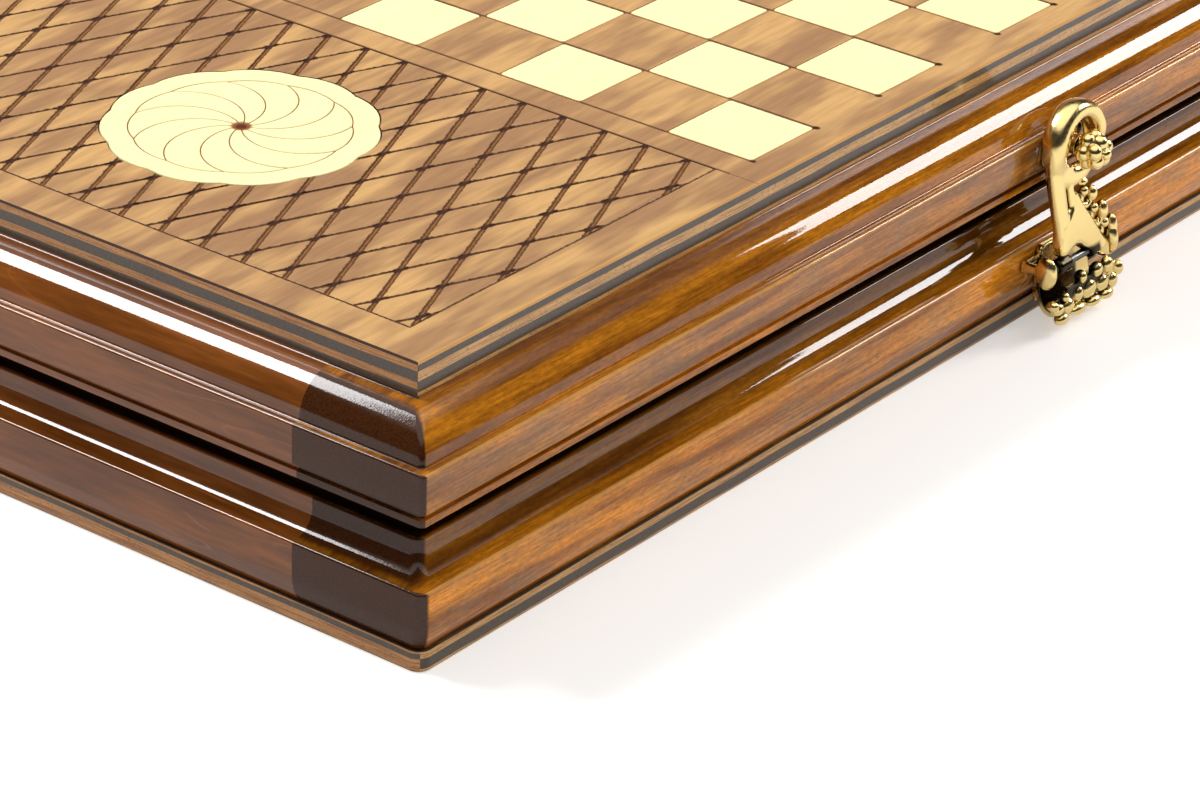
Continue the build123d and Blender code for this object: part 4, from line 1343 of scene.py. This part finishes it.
def joint_shade(tree, colour, woods, sizes):
    """Colour with painted shade, near black, in the depth of the joint between the lid and the base.
    """
    place = place_on(tree)
    shares_in = []
    outer = 0.0
    half_width = sizes.tray_half_width + sizes.rail_width
    for value, half in ((place[0], sizes.half_length), (place[1], half_width)):
        value = node(tree, "Math", [value], operation="ABSOLUTE")
        limit = half - sizes.strip_inset
        step = half - sizes.joint_inset
        reached = node(tree, "MapRange", [value, step - 2.5 * MM, step - 0.5 * MM], **SMOOTH)
        outer = node(tree, "Math", [outer, reached], operation="MAXIMUM")
        shares_in.append(
            node(tree, "MapRange", [value, limit - 1.5 * MM, limit - 0.4 * MM, 1.0, 0.0], **SMOOTH)
        )
    foot = sizes.rim_height
    top = sizes.joint_height + sizes.lip_rise
    shares_in.append(node(tree, "MapRange", [place[2], foot - 0.4 * MM, foot - 0.1 * MM], **SMOOTH))
    shares_in.append(
        node(tree, "MapRange", [place[2], top + 0.05 * MM, top + 0.2 * MM, 1.0, 0.0], **SMOOTH)
    )
    deep = node(tree, "Math", [outer, 0.96], operation="MULTIPLY")
    for share in shares_in:
        deep = node(tree, "Math", [deep, share], operation="MULTIPLY")
    return node(tree, "Mix", {0: deep, 6: colour, 7: woods.joint}, **MIXED)


def make_long_moulding(name, woods, sizes):
    """Stained beech under thick clear gloss: fine dark streaks and flecks in honey brown.

    A painted highlight lies along the ledge's and the shelf's outer edges, painted grey reflection
    clouds the outer bands, and painted shade darkens the recesses and the joint, while the base band
    under the shelf is painted lighter.
    The sawn ends are darker and drink the varnish, so their gloss is broken up by grit.
    """
    finish, tree = new_tree(name)
    broad = node(tree, "MapRange", [grain(tree, (70, 4.5, 4.5), 0, 3.0), 0.33, 0.66], **SMOOTH)
    colour = node(tree, "Mix", {0: broad, 6: woods.beech_dark, 7: woods.beech}, **MIXED)
    place, normal = place_on(tree), place_on(tree, "Normal")
    y = node(tree, "Math", [place[1]], operation="ABSOLUTE")
    half = sizes.tray_half_width + sizes.rail_width
    # Painted reflection: grey clouds on the outer bands, where the floor would show in the varnish
    cloud = node(
        tree, "MapRange", [grain(tree, (22, 7, 7), 0, 3.0, 0.4), 0.35, 0.7, 0.0, 0.5], **SMOOTH
    )
    band = node(tree, "MapRange", [y, half - 1.5 * MM, half - 0.4 * MM], **SMOOTH)
    cloud = node(tree, "Math", [cloud, band], operation="MULTIPLY")
    colour = node(tree, "Mix", {0: cloud, 6: colour, 7: woods.beech_grey_reflection}, **MIXED)
    # Painted shade and light: darker in the recessed lip, strip and cove, a little darker on the
    # roundover over the ledge, lighter on the base band under the shelf
    recess_shade = node(tree, "MapRange", [y, half - 6.5 * MM, half - 0.8 * MM, 0.4, 1.0], **SMOOTH)
    ledge, shelf = sizes.ledge_height, sizes.shelf_height
    on_top = node(
        tree, "MapRange", [place[2], ledge - 0.9 * MM, ledge + 0.6 * MM, 0.0, 0.84], **SMOOTH
    )
    painted_shading = node(tree, "Math", [recess_shade, on_top], operation="MAXIMUM")
    lower = node(
        tree, "MapRange", [place[2], shelf + 0.2 * MM, shelf + 1.2 * MM, 0.35, 0.0], **SMOOTH
    )
    painted_shading = node(tree, "Math", [lower, band, painted_shading], operation="MULTIPLY_ADD")
    colour = node(tree, "Mix", {0: 1.0, 6: colour, 7: painted_shading}, **TIMES)
    streak = node(
        tree, "MapRange", [grain(tree, (13, 0.6, 0.6), 0, 3.0), 0.3, 0.7, 0.74, 1.22], **SMOOTH
    )
    mottle = node(
        tree, "MapRange", [grain(tree, (2.2, 0.9, 0.9), 0, 3.0), 0.3, 0.7, 0.84, 1.13], **SMOOTH
    )
    both = node(tree, "Math", [streak, mottle], operation="MULTIPLY")
    colour = node(tree, "Mix", {0: 1.0, 6: colour, 7: both}, **TIMES)
    fleck = node(
        tree, "MapRange", [grain(tree, (2.6, 0.3, 0.3), 0, 2.0), 0.6, 0.72, 0.0, 0.6], **SMOOTH
    )
    colour = node(tree, "Mix", {0: fleck, 6: colour, 7: woods.fleck}, **MIXED)
    # Painted highlight: a light gold line along the outer edges of the ledge and the shelf
    outside = node(tree, "MapRange", [y, half - 0.8 * MM, half - 0.3 * MM, 0.0, 0.75], **SMOOTH)
    highlight_share = 0.0
    for top in (ledge, shelf):
        away = node(tree, "Math", [place[2], top - 0.2 * MM], operation="SUBTRACT")
        away = node(tree, "Math", [away], operation="ABSOLUTE")
        near = node(tree, "MapRange", [away, 0.2 * MM, 0.55 * MM, 1.0, 0.0], **SMOOTH)
        highlight_share = node(tree, "Math", [highlight_share, near], operation="MAXIMUM")
    highlight_share = node(tree, "Math", [highlight_share, outside], operation="MULTIPLY")
    highlight_share = node(tree, "Math", [highlight_share, mottle], operation="MULTIPLY")
    colour = node(tree, "Mix", {0: highlight_share, 6: colour, 7: woods.edge_highlight}, **MIXED)
    across = node(tree, "Math", [normal[0]], operation="ABSOLUTE")
    is_end = node(tree, "MapRange", [across, 0.12, 0.4], **SMOOTH)
    grit = grain(tree, (0.7, 0.4, 0.4), 0, 2.0)
    dots = node(tree, "MapRange", [grit, 0.4, 0.65, 1.1, 0.6], **SMOOTH)
    ends = node(tree, "Mix", {0: 1.0, 6: woods.end_grain, 7: dots}, **TIMES)
    colour = node(tree, "Mix", {0: is_end, 6: colour, 7: ends}, **MIXED)
    # Painted shade deep in the joint
    colour = joint_shade(tree, colour, woods, sizes)
    ripple = node(tree, "Math", [grain(tree, (2.0, 0.5, 0.5), 0, 2.0), 0.3], operation="MULTIPLY")
    relief = node(tree, "Mix", {0: is_end, 2: ripple, 3: grit}, data_type="FLOAT")
    under = node(tree, "MapRange", [normal[2], -0.7, -0.1, 0.2, 1.0], **SMOOTH)
    sawn = node(tree, "MapRange", [is_end, 0.0, 1.0, 1.0, 0.65], **SMOOTH)
    finish_surface(
        tree,
        colour,
        0.4,
        (mottle, 0.03),
        (relief, 0.014),
        coat_weight=node(tree, "Math", [under, sawn], operation="MULTIPLY"),
        coat_roughness=0.03,
        **CLEAR_COAT,
    )
    return finish


def make_end_moulding(name, woods, sizes):
    """Dark red-brown stained moulding under thick clear gloss, with faint pale growth arcs."""
    finish, tree = new_tree(name)
    broad = node(tree, "MapRange", [grain(tree, (9, 60, 9), 0, 3.0), 0.35, 0.65], **SMOOTH)
    colour = node(tree, "Mix", {0: broad, 6: woods.end, 7: woods.end_warm}, **MIXED)
    streak = node(
        tree, "MapRange", [grain(tree, (1.2, 14, 1.2), 0, 3.0), 0.3, 0.7, 0.8, 1.15], **SMOOTH
    )
    colour = node(tree, "Mix", {0: 1.0, 6: colour, 7: streak}, **TIMES)
    contour = grain(tree, (40, 170, 16), 0, 1.0)
    near = node(tree, "Math", [contour, 0.045], operation="PINGPONG")
    arcs = node(tree, "MapRange", [near, 0.0, 0.0035, 0.4, 0.0], **SMOOTH)
    gap = node(tree, "MapRange", [grain(tree, (20, 22, 20), 0, 1.0), 0.5, 0.6], **SMOOTH)
    arcs = node(tree, "Math", [arcs, gap], operation="MULTIPLY")
    colour = node(tree, "Mix", {0: arcs, 6: colour, 7: woods.end_light}, **MIXED)
    # Painted shade deep in the joint
    colour = joint_shade(tree, colour, woods, sizes)
    ripple = grain(tree, (1.0, 3.0, 1.0), 0, 2.0)
    facing_up = place_on(tree, "Normal")[2]
    finish_surface(
        tree,
        colour,
        0.4,
        (streak, 0.02),
        (ripple, 0.004),
        coat_weight=node(tree, "MapRange", [facing_up, -0.7, -0.1, 0.3, 1.0], **SMOOTH),
        coat_roughness=0.02,
        **CLEAR_COAT,
    )
    return finish


def make_brass(name, base, dark, roughness, clasp=None, pin_shade_colour=None):
    """Antique brass: warm polished metal on the high places and dark patina in the hollows.

    With a clasp's sizes, a painted shade of colour pin_shade_colour lies about its pin and under the
    arm, where ((y - middle) / half)^2 + ((z - middle) / half)^2 < 1.
    """
    finish, tree = new_tree(name)
    open_share = node(tree, "AmbientOcclusion", {"Distance": 1.6 * MM}, out="AO", samples=8)
    cloud = node(tree, "MapRange", [grain(tree, (4, 4, 4), 0, 3.0), 0.3, 0.7, -0.1, 0.1], **SMOOTH)
    share = node(tree, "Math", [open_share, cloud], operation="ADD")
    high = node(tree, "MapRange", [share, 0.36, 0.8], **SMOOTH)
    colour = node(tree, "Mix", {0: high, 6: dark, 7: base}, **MIXED)
    if clasp is not None:
        # Painted shade: a near-black ellipse about the pin and under the arm, between the ears
        parts = place_on(tree)
        squares = []
        for value, middle, half in (
            (parts[1], clasp.pin_y + 1.0 * MM, 4.8 * MM),
            (parts[2], clasp.pin_z - 5.0 * MM, 8.0 * MM),
        ):
            away = node(tree, "Math", [value, middle], operation="SUBTRACT")
            away = node(tree, "Math", [away, half], operation="DIVIDE")
            squares.append(node(tree, "Math", [away, 2.0], operation="POWER"))
        away = node(tree, "Math", squares, operation="ADD")
        painted_pin_shade = node(tree, "MapRange", [away, 0.95, 1.2, 0.97, 0.0], **SMOOTH)
        for start, end, low, high in ((-12.6, -12.0, 0.0, 1.0), (7.0, 8.5, 1.0, 0.0)):
            side = node(tree, "MapRange", [parts[0], start * MM, end * MM, low, high], **SMOOTH)
            painted_pin_shade = node(tree, "Math", [painted_pin_shade, side], operation="MULTIPLY")
        colour = node(tree, "Mix", {0: painted_pin_shade, 6: colour, 7: pin_shade_colour}, **MIXED)
    smear = node(
        tree,
        "MapRange",
        [grain(tree, (1.2, 1.2, 1.2)), 0.3, 0.7, roughness * 0.8, roughness * 1.3],
        **SMOOTH,
    )
    pits = grain(tree, (0.9, 0.9, 0.9))
    finish_surface(tree, colour, smear, (pits, 0.02), metallic=1.0)
    return finish


def make_tray_wood(name, base, size, seed):
    """Satin tray veneer or turned wood: one stain with fine grain."""
    finish, tree = new_tree(name)
    streak = node(
        tree, "MapRange", [grain(tree, size, 0, 3.0, seed), 0.3, 0.7, 0.75, 1.15], **SMOOTH
    )
    fibre = node(
        tree,
        "MapRange",
        [grain(tree, [s * 0.3 for s in size], 0, 2.0), 0.3, 0.7, 0.92, 1.06],
        **SMOOTH,
    )
    both = node(tree, "Math", [streak, fibre], operation="MULTIPLY")
    colour = node(tree, "Mix", {0: 1.0, 6: base, 7: both}, **TIMES)
    finish_surface(tree, colour, 0.38, (fibre, 0.02), coat_weight=0.3, coat_roughness=0.15)
    return finish


def make_dice(name, metals):
    """Ivory plastic with black pips: a pip is where the surface dips inside a face's flat."""
    finish, tree = new_tree(name)
    parts = place_on(tree)
    across = node(tree, "Math", [parts[0]], operation="ABSOLUTE")
    # Middle of a die: to either side of the case's middle, towards the front, and its height.
    # Its faces lie 6 mm from there.
    offsets = []
    for value, middle in ((across, 12.0), (parts[1], -73.0), (parts[2], 16.6)):
        moved = node(tree, "Math", [value, middle * MM], operation="SUBTRACT")
        offsets.append(node(tree, "Math", [moved], operation="ABSOLUTE"))
    most = least = total = offsets[0]
    for value in offsets[1:]:
        most = node(tree, "Math", [most, value], operation="MAXIMUM")
        least = node(tree, "Math", [least, value], operation="MINIMUM")
        total = node(tree, "Math", [total, value], operation="ADD")
    middle = node(tree, "Math", [total, most], operation="SUBTRACT")
    middle = node(tree, "Math", [middle, least], operation="SUBTRACT")
    dipped = node(tree, "MapRange", [most, 5.95 * MM, 5.98 * MM, 1.0, 0.0], **SMOOTH)
    flat = node(tree, "MapRange", [middle, 4.5 * MM, 4.6 * MM, 1.0, 0.0], **SMOOTH)
    pip = node(tree, "Math", [dipped, flat], operation="MULTIPLY")
    cloud = node(tree, "MapRange", [grain(tree, (6, 6, 6), 0, 2.0), 0.3, 0.7, 0.94, 1.02], **SMOOTH)
    ivory = node(tree, "Mix", {0: 1.0, 6: metals.ivory, 7: cloud}, **TIMES)
    colour = node(tree, "Mix", {0: pip, 6: ivory, 7: metals.pip}, **MIXED)
    finish_surface(tree, colour, 0.25, (cloud, 0.01), coat_weight=0.3)
    return finish


def dress(names, finish):
    """Give CAD nodes that stay a material."""
    for name in names:
        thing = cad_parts[name]
        if not thing.material_slots:
            thing.data.materials.append(finish)
        for place in thing.material_slots:
            place.material = finish


def get_finish(name):
    """A material that an earlier operator made."""
    return bpy.data.materials[name]


class CASE_OT_make_finishes(bpy.types.Operator):
    """Make every material of the case."""

    bl_idname = "case.make_finishes"
    bl_label = "Make finishes"

    def execute(self, context):
        woods, metals = context.scene.case_woods, context.scene.case_metals
        boards, mouldings = context.scene.case_boards, context.scene.case_mouldings
        make_chess_veneer("stained_veneer", woods, boards)
        make_lattice_veneer("engraved_lattice_veneer", woods, boards)
        make_pale_veneer("cream_maple", woods, boards, False)
        make_pale_veneer("engraved_maple_veneer", woods, boards, True)
        lid_front = [(67.5, 69.62), (62.4, 65.1), (60.0, 61.5)]
        lid_end = [(64.95, 67.5), (60.0, 63.2)]
        make_plywood("lid_plywood", woods, lid_front, lid_end)
        base_front = [(0.9, 3.5), (5.15, 6.0)]
        base_end = [(3.4, 4.8), (-1.0, 0.4)]
        make_plywood("base_plywood", woods, base_front, base_end)
        make_long_moulding("gloss_beech_moulding", woods, mouldings)
        make_end_moulding("gloss_end_moulding", woods, mouldings)
        clasp = context.scene.case_clasp
        make_brass("rubbed_brass", metals.brass, metals.brass_dark, 0.2, clasp, metals.painted_pin_shade)
        make_brass("plated_brass", metals.hinge, metals.brass_dark, 0.2)
        make_brass("blackened_steel", metals.steel, metals.steel_dark, 0.35)
        make_tray_wood("walnut_tray_veneer", woods.tray, (22, 1.2, 1.2), 0.0)
        make_tray_wood("light_point_veneer", woods.pale, (18, 1.2, 1.2), 0.3)
        make_tray_wood("dark_point_veneer", woods.dark_point, (18, 1.0, 1.0), 0.6)
        make_tray_wood("light_turned_wood", woods.light_checker, (9, 0.9, 3), 0.1)
        make_tray_wood("dark_turned_wood", woods.dark_checker, (9, 0.9, 3), 0.2)
        make_dice("pipped_ivory_plastic", metals)
        return {"FINISHED"}


class CASE_OT_add_rails(bpy.types.Operator):
    """Build the eight moulded rails of the lid and the base."""

    bl_idname = "case.add_rails"
    bl_label = "Add rails"

    def execute(self, context):
        sizes = context.scene.case_mouldings
        beech, ends = get_finish("gloss_beech_moulding"), get_finish("gloss_end_moulding")
        seats = {}
        for body, leaves in (("lid", "lid_hinge_leaves"), ("base", "base_hinge_leaves")):
            low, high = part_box(leaves)
            seats[body] = []
            for way in (-1, 1):
                near, far = sorted((way * sizes.hinge_near, way * high[0]))
                for back, half in ((low[1], sizes.leaf_seat), (sizes.barrel_back, sizes.barrel_seat)):
                    seat_foot = (near, back, sizes.joint_height - half)
                    seat_top = (far, high[1] + MM, sizes.joint_height + half)
                    seats[body].append(block(seat_foot, seat_top))
        for body, rows, corner in (
            ("lid", lid_profile(sizes), sizes.lid_corner),
            ("base", base_profile(sizes), sizes.base_corner),
        ):
            for side, word in ((-1, "front"), (1, "back")):
                name = f"{body}_{word}_rail"
                rail = make_object(f"{name}_moulding", [long_rail_shell(rows, sizes, side, corner)])
                if side > 0:
                    cut_away(rail, seats[body])
                settle(rail, beech, body, [name])
            for side, word in ((-1, "left"), (1, "right")):
                name = f"{body}_{word}_rail"
                rail = make_object(f"{name}_moulding", [end_rail_shell(rows, sizes, side)])
                settle(rail, ends, body, [name])
        return {"FINISHED"}


class CASE_OT_add_boards(bpy.types.Operator):
    """Build the plywood boards of the lid and the base."""

    bl_idname = "case.add_boards"
    bl_label = "Add boards"

    def execute(self, context):
        sizes = context.scene.case_boards
        foot = context.scene.case_mouldings.foot_height
        for node_name, corner, body, finish in (
            ("lid_panel", 0.35 * MM, "lid", "lid_plywood"),
            ("base_panel", sizes.base_corner, "base", "base_plywood"),
        ):
            low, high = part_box(node_name)
            loop = rectangle(low[:2], high[:2], corner, 8)
            if body == "base":
                points, faces = plate(loop, -foot, -low[2], sizes.edge_ease * 1.5)
                shell = (points * (1, 1, -1), faces)
            else:
                shell = plate(loop, low[2], high[2], 0.02 * MM, 1)
            board = make_object(f"{node_name}_board", [shell])
            settle(board, get_finish(finish), body, [node_name])
        return {"FINISHED"}


class CASE_OT_add_chess(bpy.types.Operator):
    """Build the chess sheet and its light squares."""

    bl_idname = "case.add_chess"
    bl_label = "Add chess board"

    def execute(self, context):
        sizes = context.scene.case_boards
        low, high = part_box("lid_chess_veneer")
        sheet = make_object("chess_sheet", [chess_sheet_shell(low, high, sizes)])
        settle(sheet, get_finish("stained_veneer"), "lid", ["lid_chess_veneer"])
        low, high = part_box("chess_light_squares")
        squares = make_object("chess_squares", light_square_shells(low, high, sizes))
        settle(squares, get_finish("cream_maple"), "lid", ["chess_light_squares"])
        return {"FINISHED"}


class CASE_OT_add_lattice(bpy.types.Operator):
    """Build both lattice sheets."""

    bl_idname = "case.add_lattice"
    bl_label = "Add lattices"

    def execute(self, context):
        sizes, rosette = context.scene.case_boards, context.scene.case_rosettes
        for side, word in ((-1, "left"), (1, "right")):
            node_name = f"lid_lattice_veneer_{word}"
            low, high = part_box(node_name)
            shells = lattice_shells(low, high, sizes, rosette, side)
            sheet = make_object(f"lattice_sheet_{word}", shells)
            settle(
                sheet, get_finish("engraved_lattice_veneer"), "lid", [node_name]
            )
        return {"FINISHED"}


class CASE_OT_add_medallions(bpy.types.Operator):
    """Build both rosettes."""

    bl_idname = "case.add_medallions"
    bl_label = "Add medallions"

    def execute(self, context):
        sizes = context.scene.case_rosettes
        for side, word in ((-1, "left"), (1, "right")):
            node_name = f"medallion_{word}"
            low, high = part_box(node_name)
            (points, faces), burns = medallion_shell(low, high, sizes, side)
            mesh = bpy.data.meshes.new(f"rosette_{word}")
            mesh.from_pydata(points.tolist(), [], faces)
            burn = mesh.attributes.new("burn", "FLOAT", "POINT")
            burn.data.foreach_set("value", burns.astype(np.float32))
            work = bmesh.new()
            work.from_mesh(mesh)
            bmesh.ops.recalc_face_normals(work, faces=work.faces)
            work.to_mesh(mesh)
            work.free()
            mesh.shade_smooth()
            mesh.set_sharp_from_angle(angle=math.radians(50))
            rosette = bpy.data.objects.new(f"rosette_{word}", mesh)
            context.scene.collection.objects.link(rosette)
            settle(rosette, get_finish("engraved_maple_veneer"), "lid", [node_name])
        return {"FINISHED"}


class CASE_OT_add_clasp(bpy.types.Operator):
    """Build the clasp's three castings."""

    bl_idname = "case.add_clasp"
    bl_label = "Add clasp"

    def execute(self, context):
        sizes = context.scene.case_clasp
        brass = get_finish("rubbed_brass")
        plain, ornaments = arm_shells()
        core = make_object("clasp_arm_core", in_arm_plane(plain, sizes))
        cast(core, 1.3 * sizes.voxel, 26)
        points = np.array([corner.co for corner in core.data.vertices])
        faces = [list(face.vertices) for face in core.data.polygons]
        bpy.data.objects.remove(core)
        arm = make_object("clasp_arm_casting", [(points, faces)] + in_arm_plane(ornaments, sizes))
        cast(arm, sizes.voxel, 4)
        settle(arm, brass, "clasp_arm", ["clasp_arm"])
        keeper = make_object("clasp_keeper_casting", keeper_shells())
        cast(keeper, sizes.voxel, 5)
        settle(keeper, brass, "lid", ["clasp_keeper"])
        base = make_object("clasp_base_casting", trough_shells())
        cast(base, sizes.voxel, 10)
        settle(base, brass, "base", ["clasp_base"])
        return {"FINISHED"}


class CASE_OT_dress_frame(bpy.types.Operator):
    """Give the CAD nodes that stay their materials."""

    bl_idname = "case.dress_frame"
    bl_label = "Dress the frame"

    def execute(self, context):
        dress(["lid_playing_field", "base_playing_field"], get_finish("walnut_tray_veneer"))
        dress(["lid_light_points", "base_light_points"], get_finish("light_point_veneer"))
        dress(["lid_dark_points", "base_dark_points"], get_finish("dark_point_veneer"))
        dress(["light_checkers"], get_finish("light_turned_wood"))
        dress(["dark_checkers"], get_finish("dark_turned_wood"))
        dress(["dice"], get_finish("pipped_ivory_plastic"))
        brass = [
            "lid_hinge_leaves",
            "base_hinge_leaves",
            "lid_hinge_screws",
            "base_hinge_screws",
            "hinge_pins",
            "keeper_screws",
            "clasp_base_screws",
        ]
        dress(brass, get_finish("plated_brass"))
        dress(["clasp_pin"], get_finish("blackened_steel"))
        return {"FINISHED"}


def add_floor(settings):
    """White floor: matt paper, lifted by a glow that depends on what kind of ray sees it."""
    half, thickness = 6.0, 0.02
    loop = rectangle((-half, -half), (half, half))
    shell = skin(np.array([at_height(loop, -thickness), at_height(loop, 0.0)]))
    floor = make_object("floor", [shell])
    finish, tree = new_tree("studio_floor")
    glow = 0.0
    for ray, level in (
        ("Is Camera Ray", settings.floor_glow),
        ("Is Glossy Ray", settings.floor_gloss),
        ("Is Transmission Ray", settings.floor_gloss),
    ):
        kind = node(tree, "LightPath", out=ray)
        glow = node(tree, "Math", [kind, level, glow], operation="MULTIPLY_ADD")
    paper = node(tree, "BsdfDiffuse", {"Color": settings.floor})
    light = node(tree, "Emission", {"Color": settings.floor, "Strength": glow})
    node(tree, "OutputMaterial", [node(tree, "AddShader", [paper, light])])
    floor.data.materials.append(finish)


def add_room(scene, settings):
    """Room: a bright ceiling over dark walls in gloss, a soft fill, and a white backdrop."""
    world = bpy.data.worlds.new("studio_room")
    scene.world = world
    world.use_nodes = True
    tree = world.node_tree
    tree.nodes.clear()
    way = node(tree, "TexCoord", out="Generated")
    height = node(tree, "SeparateXYZ", [way], out=2)
    room = node(
        tree, "MapRange", [height, 0.64, 0.84, settings.room_low, settings.room_high], **SMOOTH
    )
    for ray, level in (("Is Diffuse Ray", settings.fill), ("Is Camera Ray", settings.backdrop)):
        kind = node(tree, "LightPath", out=ray)
        room = node(tree, "Mix", {0: kind, 2: room, 3: level}, data_type="FLOAT")
    back = node(tree, "Background", {"Strength": room})
    node(tree, "OutputWorld", [back])


def add_softbox(scene, name, away, along, size, glow):
    """Lamp that faces the case from direction away, with its own X axis near along.

    Its power is its radiance times pi times its area.
    """
    distance = 2.6
    lamp = bpy.data.lights.new(name, "AREA")
    lamp.shape = "RECTANGLE"
    lamp.size, lamp.size_y = size
    lamp.energy = glow * math.pi * size[0] * size[1]
    holder = bpy.data.objects.new(name, lamp)
    z_axis = Vector(away).normalized()
    x_axis = Vector(along)
    x_axis = (x_axis - x_axis.dot(z_axis) * z_axis).normalized()
    turn = Matrix((x_axis, z_axis.cross(x_axis), z_axis)).transposed()
    holder.matrix_world = Matrix.Translation(z_axis * distance) @ turn.to_4x4()
    scene.collection.objects.link(holder)


def add_camera(scene, settings):
    """The photo's camera: its three axes and its place, in metres."""
    lens = bpy.data.cameras.new("camera")
    lens.lens = settings.lens
    lens.sensor_width = 36.0
    lens.sensor_fit = "HORIZONTAL"
    camera = bpy.data.objects.new("camera", lens)
    right = Vector((0.61742, -0.78610, 0.02885))
    down = Vector((-0.34414, -0.30291, -0.88872))
    ahead = Vector((0.70736, 0.53878, -0.45755))
    turn = Matrix((right, -down, -ahead)).transposed()
    camera.matrix_world = Matrix.Translation((-0.97208, -0.72210, 0.55296)) @ turn.to_4x4()
    lens.clip_start, lens.clip_end = 0.05, 30.0
    scene.collection.objects.link(camera)
    scene.camera = camera


class CASE_OT_add_stage(bpy.types.Operator):
    """Set up the floor, the lamps, the room and the camera."""

    bl_idname = "case.add_stage"
    bl_label = "Add stage"

    def execute(self, context):
        settings, scene = context.scene.case_studio, context.scene
        scene.view_settings.view_transform = "Standard"
        add_floor(settings)
        add_room(scene, settings)
        key_away, key_along = (-0.235, 0.60, 0.765), (0.956, 0.0, 0.294)
        add_softbox(scene, "key_softbox", key_away, key_along, (1.08, 0.7), settings.key_glow)
        side_away, side_along = (0.779, -0.414, 0.471), (0.0, 0.752, 0.66)
        add_softbox(scene, "side_softbox", side_away, side_along, (1.0, 0.82), settings.side_glow)
        add_camera(scene, settings)
        return {"FINISHED"}


class CASE_PT_panel(bpy.types.Panel):
    """Buttons that build the case."""

    bl_label = "Folding case"
    bl_space_type = "VIEW_3D"
    bl_region_type = "UI"
    bl_category = "Case"

    def draw(self, context):
        for operator in OPERATORS:
            self.layout.operator(operator.bl_idname)
        for group in GROUPS.values():
            box = self.layout.box()
            settings = getattr(context.scene, group)
            for key in settings.bl_rna.properties.keys():
                if key not in ("rna_type", "name"):
                    box.prop(settings, key)


OPERATORS = [
    CASE_OT_make_finishes,
    CASE_OT_add_rails,
    CASE_OT_add_boards,
    CASE_OT_add_chess,
    CASE_OT_add_lattice,
    CASE_OT_add_medallions,
    CASE_OT_add_clasp,
    CASE_OT_dress_frame,
    CASE_OT_add_stage,
]

GROUPS = {
    MouldingSizes: "case_mouldings",
    BoardSizes: "case_boards",
    MedallionSizes: "case_rosettes",
    ClaspSizes: "case_clasp",
    WoodColours: "case_woods",
    MetalColours: "case_metals",
    StudioSettings: "case_studio",
}


def register():
    """Register the groups, the operators and the panel."""
    for group, name in GROUPS.items():
        bpy.utils.register_class(group)
        setattr(bpy.types.Scene, name, bpy.props.PointerProperty(type=group))
    for operator in OPERATORS:
        bpy.utils.register_class(operator)
    bpy.utils.register_class(CASE_PT_panel)


def unregister():
    """Take them away again."""
    bpy.utils.unregister_class(CASE_PT_panel)
    for operator in reversed(OPERATORS):
        bpy.utils.unregister_class(operator)
    for group, name in reversed(GROUPS.items()):
        delattr(bpy.types.Scene, name)
        bpy.utils.unregister_class(group)


def main():
    """Register everything and run each operator in turn."""
    register()
    for operator in OPERATORS:
        category, action = operator.bl_idname.split(".")
        getattr(getattr(bpy.ops, category), action)()


if __name__ == "__main__":
    main()
